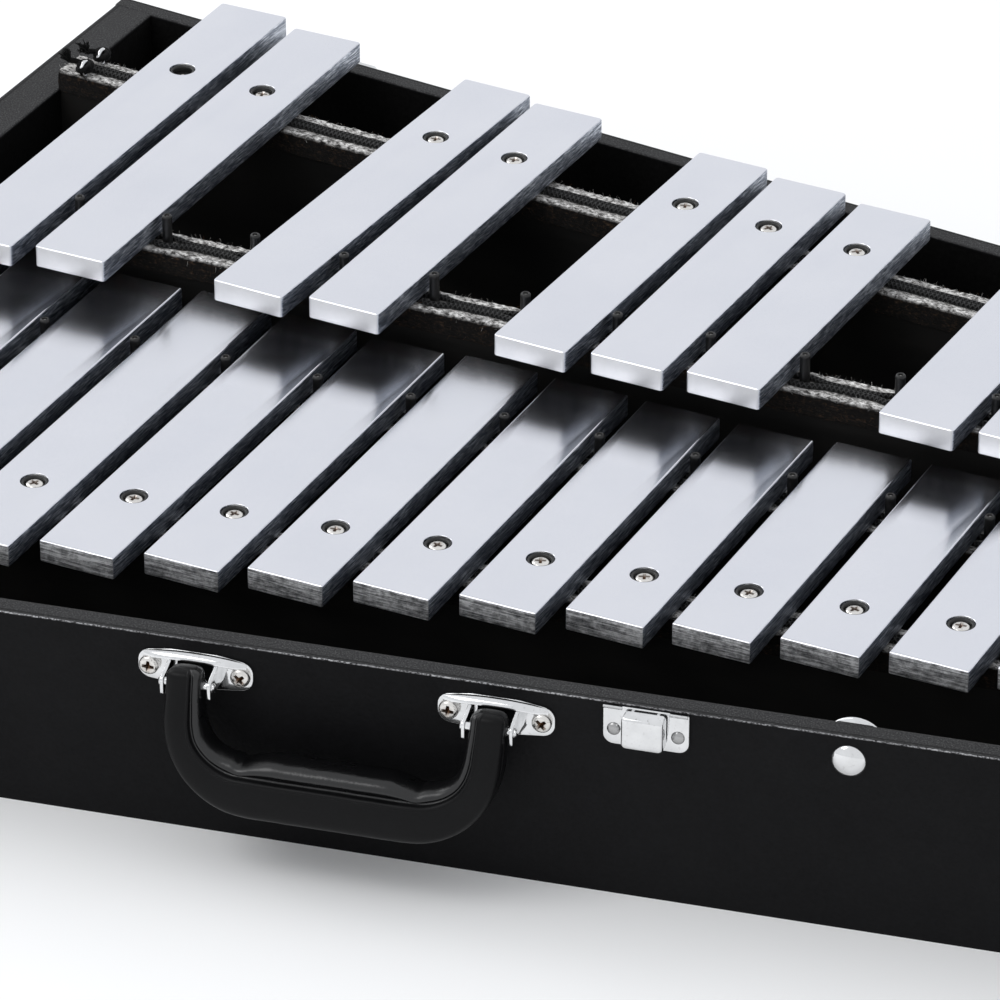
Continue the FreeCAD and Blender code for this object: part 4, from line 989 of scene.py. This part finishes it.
EYE_HIGH, EYE_MIDDLE, EYE_RADIUS, EYE_WIRE = 5.9, 2.95, 2.3, 0.72


def screw_eye():
    """A wire eye standing on its stem, with a collar."""
    ring = [Vector((0, EYE_RADIUS * math.sin(a), EYE_MIDDLE - EYE_RADIUS * math.cos(a)))
        for a in [2 * math.pi * k / 20 * 0.93 for k in range(21)]]
    stem = [(AXIS, -20), (0.65, -20), (0.65, 0.3), (0.95, 0.4), (0.95, 0.8), (0.6, 1.1), (AXIS, 1.1)]
    return tube(ring, EYE_WIRE, 8).add(lathe(stem, 12))


def tied_end(seed):
    """A cord's hitch round its eye: two wraps, a lump and a short tail."""
    wild = random.Random(seed)
    shape = Shape()
    wraps = []
    for k in range(64):
        a = 2 * math.pi * k / 24
        wraps.append(Vector((1.7 * math.sin(a) + 0.028 * k - 0.9, 1.9 * math.cos(a),
            3.3 + 0.9 * math.sin(a * 0.5 + 1))))
    shape.add(tube(wraps, 1.15, 9))
    tail = [Vector((1.0 - 0.4 * k, 1.6 + 0.45 * k + wild.uniform(-0.2, 0.2),
        3.6 + 0.55 * k - 0.05 * k * k)) for k in range(8)]
    shape.add(tube(tail, 0.95, 9))
    for _ in range(90):
        way = Vector((wild.uniform(-1.1, 0.3), wild.uniform(-0.2, 0.9),
            wild.uniform(0.6, 1.8))).normalized()
        bend = Vector((wild.uniform(-1, 1), wild.uniform(-1, 1), wild.uniform(-1, 0.6))) * 0.8
        long = wild.uniform(2.0, 4.6)
        start = tail[-1] + Vector((wild.uniform(-0.5, 0.5), wild.uniform(-0.5, 0.5),
            wild.uniform(-0.5, 0.5)))
        strand = [start + way * long * t + bend * t * t for t in (0, 0.35, 0.7, 1.0)]
        shape.add(tube(strand, 0.17, 4))
    return shape


anchor_places = [Matrix.Translation(((lo.x + hi.x) / 2, (lo.y + hi.y) / 2, hi.z - EYE_HIGH)) for lo,
    hi in anchors]
set_out("screw_eyes_fitted", screw_eye(), anchor_places, chrome, "cord_anchors", 50)
knots = Shape()
for number, place in enumerate(anchor_places):
    turn = Matrix.Rotation((1.9, 1.4)[number % 2] * (1 if place.translation.x < 0 else -1), 4, "Z")
    knots.add(tied_end(number + 3), place @ turn)
piece("cord_ends_tied", knots, black_fibre, "case", (), 60)


# ---------------------------------------------------------------- fittings on the front wall

FRONT_TURN = Matrix.Rotation(FRONT_ANGLE, 4, "Z")
OUTWARDS = Matrix.Rotation(math.pi / 2, 4, "X")
LYING = Matrix.Rotation(math.pi / 2, 4, "Y")
HANDLE_SPAN, HANDLE_OUT = 90.4, 9.0
HANDLE_DROP, HANDLE_BEND, HANDLE_TOP, HANDLE_LEAN = 28.0, 19.0, 5.2, 12
BRACKET_SCREW = (13.85, -3.1)
BRACKET_EAR, LATCH_EAR = 7.1, 3.75
NOTCH_OUT, NOTCH_SLANT = 2.62, 0.35
LATCH_RIVET, LATCH_PIN = (9.45, -8.4), (3.0, 2.7)
HINGE_RIVET, HINGE_REACH = (6.5, -12.0), 222.0


def along_front(point):
    """A placement at a point, with X along the front wall and Y into it."""
    return Matrix.Translation(point) @ FRONT_TURN


def moved(place, across, into, up):
    return place @ Matrix.Translation((across, into, up))


def wall_at(outside, angle, x):
    """How far back a wall's outer face is at x, in millimetres."""
    return outside.y / MM + math.tan(angle) * (x - outside.x / MM)


def hole_pair(radius, across, up, steps):
    return [circle_outline(radius, side * across, up, steps) for side in SIDES]


def ear(corners, radii, hole, thick, edge, hole_edge, across):
    """A flat ear stood edge on to the wall, its thickness centred on a place across it."""
    stand = Matrix(((0, 0, 1, -thick / 2), (-1, 0, 0, 0), (0, 1, 0, 0), (0, 0, 0, 1)))
    blade = plate(rounded_outline(corners, radii, 5), [hole], thick, edge, hole_edge)
    return Shape().add(blade, Matrix.Translation((across, 0, 0)) @ stand)


handle_pos = Vector(JOINTS["handle_swing"]["pos_m"]) / MM


def bracket_shape():
    """A stamped handle bracket: rounded plate with a window, ears and an upturned lip."""
    wide, tall = 17.5, 5.8
    outline = rounded_outline([(-wide, -tall + 1.2), (-6.4, -tall), (6.4, -tall), (wide, -tall + 1.2),
        (wide, tall - 1.6), (7, tall), (-7, tall), (-wide, tall - 1.6)],
        [4.0, 2, 2, 4.0, 4.0, 12, 12, 4.0], 7)
    window = rounded_outline([(-5.9, -3.4), (5.9, -3.4), (5.2, 3.2), (-5.2, 3.2)], [0.7] * 4, 3)
    holes = [window] + hole_pair(1.8, BRACKET_SCREW[0], 0, 28)
    shape = Shape().add(plate(outline, holes, thick=0.9, edge=0.25, hole_edge=0.15), OUTWARDS)
    lip = []
    for k in range(33):
        x = -15.6 + 31.2 * k / 32
        share = abs(x) / 15.6
        top = tall - 0.1 - 1.5 * share ** 2.6
        reach = 0.5 + 1.9 * (1 - share ** 4)
        curl = [(0.9 + reach * out, top - down) for out, down in ((0, 2.3), (0.78, 2.2), (1, 1.8),
            (0.97, 1.3), (0.8, 0.75), (0.5, 0.3), (0.1, 0))]
        section = [(0.1, top - 2.3)] + curl + [(0.3, top + 0.1), (0.1, top)]
        lip.append([Vector((x, -y, z)) for y, z in section])
    shape.add(loft(lip))
    corners = [(-0.3, -3.4), (HANDLE_OUT - 2.2, -3.0), (HANDLE_OUT - 0.4, -4.0),
        (HANDLE_OUT + 1.9, -3.6), (HANDLE_OUT + 1.9, 1.7), (HANDLE_OUT - 0.4, 2.2), (0.6, 4.3),
        (-0.3, 4.3)]
    radii = [0.3, 0.8, 0.6, 0.9, 1.4, 1.2, 0.4, 0.3]
    for side in SIDES:
        shape.add(ear(corners, radii, circle_outline(1.32, HANDLE_OUT, 0.0, 20), thick=1.1, edge=0.2,
            hole_edge=0.1, across=side * BRACKET_EAR))
    return shape


handle_place = along_front(handle_pos)
bracket_places = [moved(handle_place, side * HANDLE_SPAN / 2, HANDLE_OUT, 0) for side in SIDES]
set_out("brackets_stamped", bracket_shape(), bracket_places, chrome, "handle_brackets",
    38)
rod = [(AXIS, -8.6), (0.9, -8.5), (1.35, -8.1), (1.3, -7.7), (1.3, 7.7), (1.35, 8.1), (0.9, 8.5),
    (AXIS, 8.6)]
rod_places = [moved(handle_place, side * HANDLE_SPAN / 2, 0, 0) @ LYING for side in SIDES]
set_out("handle_rods_fitted", lathe(rod, 18), rod_places, chrome, "handle_pins")
wall_screw, wall_recess_shade = cross_screw(arm=1.85, slot=0.95, depth=1.6, shank=9.0)
wall_screw_places = [moved(place, side * BRACKET_SCREW[0], BRACKET_SCREW[1], 0) @ OUTWARDS
    @ Matrix.Rotation(0.35 + side * 0.4, 4, "Z") for place in bracket_places for side in SIDES]
set_out("bracket_screws_fitted", wall_screw, wall_screw_places, screw_steel, "bracket_screws",
    40, wall_recess_shade)


# The handle's section, from its outer side round by the front, as shares of its half width
# (inwards) and half depth (forwards). A ditch beside a bead marks each seam.
HANDLE_SECTION = [(-1.0, 0.0), (-1.0, 0.28), (-0.95, 0.36), (-1.0, 0.45), (-0.96, 0.68), (-0.82, 0.88),
    (-0.55, 0.985), (-0.2, 1.02), (0.12, 1.01), (0.27, 1.0), (0.35, 1.05), (0.43, 1.0), (0.47, 0.86),
    (0.54, 0.80), (0.64, 0.86), (0.80, 0.80), (0.94, 0.58), (1.0, 0.22), (0.99, -0.2), (0.9, -0.6),
    (0.68, -0.86), (0.3, -0.97), (-0.2, -1.0), (-0.62, -0.92), (-0.88, -0.68), (-0.98, -0.35)]


def smooth_loop(points, steps):
    """A closed Catmull-Rom curve through flat points."""
    made = []
    count = len(points)
    for i in range(count):
        a, b, c, d = (Vector(points[(i + k) % count]) for k in (-1, 0, 1, 2))
        for k in range(steps):
            t = k / steps
            made.append(0.5 * (2 * b + (c - a) * t + (2 * a - 5 * b + 4 * c - d) * t * t
                + (3 * b - a - 3 * c + d) * t ** 3))
    return made


def handle_shape():
    """The moulded handle in its own plane: front panel, seams and a padded inner roll."""
    half, drop, bend, top = HANDLE_SPAN / 2, HANDLE_DROP, HANDLE_BEND, HANDLE_TOP
    path = [Vector((-half, 0, top - (drop - bend + top) * k / 26)) for k in range(26)]
    for k in range(33):
        angle = math.pi / 2 * k / 32
        path.append(Vector((-half + bend * (1 - math.cos(angle)), 0,
            bend - drop - bend * math.sin(angle))))
    corner = len(path)
    for k in range(1, 60):
        path.append(Vector((-half + bend + (2 * half - 2 * bend) * k / 60, 0, -drop)))
    path += [Vector((-p.x, 0, p.z)) for p in reversed(path[:corner])]
    total = len(path) - 1
    way = [0.0]
    for a, b in zip(path, path[1:]):
        way.append(way[-1] + (b - a).length)
    section = smooth_loop(HANDLE_SECTION, 4)
    rings = []
    for i, point in enumerate(path):
        ahead = (path[min(i + 1, total)] - path[max(i - 1, 0)]).normalized()
        inward = Vector((-ahead.z, 0, ahead.x))
        reach = min(way[i], way[-1] - way[i])
        wide = 5.0 + 1.5 * smooth_step((reach - 3) / 18) + 2.6 * smooth_step((reach - 20) / 26)
        outer = 5.4 + 3.2 * smooth_step((reach - 16) / 34)
        deep = 4.8 + 2.4 * smooth_step((reach - 2) / 20) + 1.4 * smooth_step((reach - 30) / 18)
        swell = 0.14 * smooth_step((reach - 45) / 9)
        pinch = 0.10 * math.exp(-((reach - 43.5) / 3.0) ** 2)
        cap = 2.4 - math.sqrt(max(0.0, 2.4 ** 2 - max(0.0, 2.4 - reach) ** 2))
        ring = []
        for n, b in section:
            roll = smooth_step((n - 0.5) / 0.12)
            stretch = 1 + roll * (swell - pinch) + 0.012 * roll * noise.noise(Vector((way[i] * 0.25,
                n * 2, b * 2)))
            wander = 0.05 * noise.noise(Vector((way[i] * 0.12, n, b)))
            across = n * ((wide if n > 0 else outer) - cap) * stretch + wander * 2
            front = b * (deep - cap) * (1 + 0.5 * roll * swell)
            ring.append(point + inward * across + Vector((0, -front, 0)))
        rings.append(ring)
    padded = {k for k, (n, b) in enumerate(section) if n > 0.5 and b > -0.6}
    return loft(rings), len(section), padded


LEAN = Matrix.Rotation(-math.radians(HANDLE_LEAN), 4, "X")
moulded, round_count, pad_steps = handle_shape()
handle = piece("handle_moulded", Shape().add(moulded, handle_place @ LEAN), vinyl, "handle",
    ["handle_grip"], 70)
handle.data.materials.append(pad_vinyl)
for face in handle.data.polygons:
    face.material_index = int(len(face.vertices) == 4 and face.index % round_count in pad_steps)


# Latches: plate, lever, rivets and pin.
def latch_plate_shape():
    outline = rounded_outline([(-12.7, -13.5), (12.7, -13.5), (12.7, -0.8), (-12.7, -0.8)],
        [3.2, 3.2, 0.6, 0.6], 7)
    holes = hole_pair(0.8, *LATCH_RIVET, 16)
    shape = Shape().add(plate(outline, holes, thick=0.95, edge=0.3, hole_edge=0.1), OUTWARDS)
    for side in SIDES:
        flange = [[Vector((side * x, -y, z)) for y, z in ((0.1, -1.9), (0.95, -1.9), (1.5, -1.5),
            (1.9, -0.9), (2.0, -0.4), (1.7, -0.3), (1.2, -0.7), (0.5, -0.8), (0.1, -0.8))]
            for x in (7.0, 7.2, 9.5, 12.0, 12.4)]
        shape.add(loft(flange))
        shape.add(ear([(0.2, -4.1), (4.3, -4.1), (4.3, -1.3), (0.2, -1.3)], [0.2, 1.2, 1.2, 0.2],
            circle_outline(0.76, LATCH_PIN[0], -LATCH_PIN[1], 14), thick=0.9, edge=0.12, hole_edge=0.05,
            across=side * LATCH_EAR))
    return shape


def lever_shape():
    """A pressed cap with rounded edges, hollow behind and open at its foot."""
    wide, low, high = 6.2, -8.9, 1.5

    def ring(inward, out, corner):
        loop = rounded_outline([(-wide + inward, low + inward), (wide - inward, low + inward),
            (wide - inward, high - inward), (-wide + inward, high - inward)], [corner] * 4, 5)
        return [Vector((p.x, -out, p.y)) for p in loop]

    rings = [ring(inward, out, max(0.5, 1.3 - inward * 0.3)) for inward,
        out in ((0.0, -1.1), (0.0, 2.2), (0.18, 2.8), (0.6, 3.12), (1.3, 3.2), (2.6, 3.3))]
    inner = [ring(inward, out, max(0.4, 1.0 - inward * 0.2)) for inward,
        out in ((3.2, 2.6), (1.1, 2.4), (0.8, 2.0), (0.8, -1.1))]
    count = len(rings[0])
    shape, back = loft(rings, ends=False), loft(inner, ends=False)
    shape.faces.append(tuple(range((len(rings) - 1) * count, len(rings) * count)))
    back.faces.append(tuple(range(count)))
    return shape.add(back).add(loft([rings[0], inner[-1]], ends=False))


latch_places = []
notch = rounded_outline([(-2.4, 0.35), (2.4, 0.35), (1.9, 1.2), (-1.9, 1.2)], [0.8, 0.8, 0.4, 0.4], 5)
for end in ("bass", "treble"):
    pivot = along_front(Vector(JOINTS["latch_lever_%s_flip" % end]["pos_m"]) / MM)
    latch_places.append(moved(pivot, 0, *LATCH_PIN))
    piece("latch_cap_" + end, Shape().add(lever_shape(), pivot), chrome, "latch_" + end,
        ["latch_lever_" + end], 40)
    # A thin black plate in the cap's slot stands in for the shade inside it: painted shadow.
    slanting = moved(pivot, 0, -NOTCH_OUT, 0) @ Matrix.Rotation(-NOTCH_SLANT, 4, "X") @ OUTWARDS
    piece("latch_cap_notch_" + end, Shape().add(plate(notch, [], thick=0.5, edge=0.1), slanting),
        notch_painted_shadow, "latch_" + end, (), 40)
set_out("latch_plates_pressed", latch_plate_shape(), latch_places, chrome, "latch_plates",
    38)
short_rod = lathe([(AXIS, -6.2), (0.75, -6.15), (0.75, 6.15), (AXIS, 6.2)], 14)
short_rod_places = [moved(place, 0, -LATCH_PIN[0], -LATCH_PIN[1]) @ LYING for place in latch_places]
set_out("latch_rods_fitted", short_rod, short_rod_places, chrome, "latch_pins")

# Lid locators.
dome = [(AXIS, -7.5), (1.7, -7.5), (1.7, 0.0), (5.2, 0.0), (5.2, 0.25), (4.9, 0.8), (4.1, 1.4),
    (3.0, 1.9), (1.6, 2.25), (AXIS, 2.34)]
stud_places = []
for low, high in solids_of("locator_discs"):
    centre = (low + high) / 2
    deep = (centre.y - wall_at(front_outside, FRONT_ANGLE, centre.x)) * math.cos(FRONT_ANGLE)
    on_wall = (centre.x + math.sin(FRONT_ANGLE) * deep, centre.y - math.cos(FRONT_ANGLE) * deep,
        centre.z)
    stud_places.append(Matrix.Translation(on_wall) @ (FRONT_TURN @ OUTWARDS))
set_out("locator_domes_fitted", lathe(dome, 36), stud_places, chrome, "locator_rivets",
    50)
washer = [(1.75, -8.9), (8.8, -8.9), (9.3, -8.6), (9.5, -8.1), (9.5, -7.7), (9.3, -7.5), (1.75, -7.5)]
set_out("locator_washers_fitted", lathe(washer, 44, True), stud_places, chrome, "locator_discs",
    50)


# ---------------------------------------------------------------- hinges on the back wall

def hinge_shape():
    outline = rounded_outline([(-13, -17), (13, -17), (13, -1), (0, -1), (0, -5), (-13, -5)],
        [2.2, 2.2, 0.4, 0.4, 0.3, 0.8], 5)
    holes = hole_pair(0.8, *HINGE_RIVET, 16)
    shape = Shape().add(plate(outline, holes, thick=0.95, edge=0.25, hole_edge=0.1), OUTWARDS)
    knuckle = [(1.25, 0.0), (2.2, 0.0), (2.4, 0.25), (2.4, 12.75), (2.2, 13.0), (1.25, 13.0)]
    pin = [(AXIS, -12.0), (0.8, -12.0), (1.2, -11.4), (1.2, 4.0), (AXIS, 4.0)]
    at = Matrix.Translation((0, -2.6, -2.4)) @ LYING
    return shape.add(lathe(knuckle, 24, True), at).add(lathe(pin, 20), at)


BACK_TURN = Matrix.Rotation(BACK_ANGLE + math.pi, 4, "Z")
hinge_places = [Matrix.Translation((x, wall_at(back_outside, BACK_ANGLE, x), RIM / MM)) @ BACK_TURN
    for x in (-HINGE_REACH, HINGE_REACH)]
set_out("hinge_halves_fitted", hinge_shape(), hinge_places, chrome, "hinge_halves",
    38)
rivet = [(AXIS, -5.0), (0.8, -5.0), (0.8, 0.0), (2.0, 0.0), (1.95, 0.25), (1.6, 0.6), (0.9, 0.85),
    (AXIS, 0.9)]
rivet_places = [moved(place, side * across, -1.0, up) @ OUTWARDS for places,
    (across, up) in ((latch_places, LATCH_RIVET), (hinge_places, HINGE_RIVET)) for place in places
    for side in SIDES]
set_out("rivets_fitted", lathe(rivet, 20), rivet_places, rivet_steel, "small_rivets",
    50)
bpy.data.objects.remove(hair)


# ---------------------------------------------------------------- floor, light and camera

FLOOR_REACH = 6
FLOOR_PALE, FLOOR_PALER = grey(0.93), grey(0.95)
ROOM_COLOUR, ROOM_STRENGTH = (0.96, 0.975, 1.0, 1), 0.93
WINDOWS = (("window_front", (-0.76, -1.0, 1.55), 0.9, 7.5), ("window_left", (-1.7, 0.3, 1.1), 1.0, 7.0))
AIM = Vector((0, 0, 0.05))
CAMERA_AT, CAMERA_BACK = (0.6954, -1.5477, 1.0333), (0.382, -0.776, 0.5019)
LENS, SENSOR = 231.7, 36


def studio():
    """A pale paper floor, an even room and two soft windows."""
    mesh = bpy.data.meshes.new("studio_floor")
    mesh.from_pydata([(x * FLOOR_REACH, y * FLOOR_REACH, 0) for x,
        y in ((-1, -1), (1, -1), (1, 1), (-1, 1))], [], [(0, 1, 2, 3)])
    ground = Finish("studio_paper", Roughness=0.9, Specular_IOR_Level=0.0)
    ground.colour(ground.ramp(ground.noise(3), [(0, FLOOR_PALE), (1, FLOOR_PALER)]))
    mesh.materials.append(ground.material)
    floor = placed("studio_floor", mesh)
    world = bpy.data.worlds.new("soft_room")
    world.use_nodes = True
    sky = world.node_tree.nodes["Background"].inputs
    sky["Color"].default_value, sky["Strength"].default_value = ROOM_COLOUR, ROOM_STRENGTH
    bpy.context.scene.world = world
    for name, place, size, power in WINDOWS:
        light = bpy.data.lights.new(name, "AREA")
        light.shape, light.size, light.energy = "SQUARE", size, power
        lamp = placed(name, light)
        lamp.location = place
        lamp.rotation_euler = (AIM - Vector(place)).to_track_quat("-Z", "Y").to_euler()


def stand_camera():
    """The camera, high at the front and to the right, far off with a long lens."""
    eye = bpy.data.cameras.new("camera")
    eye.lens, eye.sensor_width = LENS, SENSOR
    eye.clip_start, eye.clip_end = 0.05, 20
    camera = placed("camera", eye)
    camera.location = CAMERA_AT
    camera.rotation_mode = "QUATERNION"
    camera.rotation_quaternion = (-Vector(CAMERA_BACK).normalized()).to_track_quat("-Z", "Y")
    bpy.context.scene.camera = camera


studio()
stand_camera()
bpy.context.scene.view_settings.view_transform = "Standard"
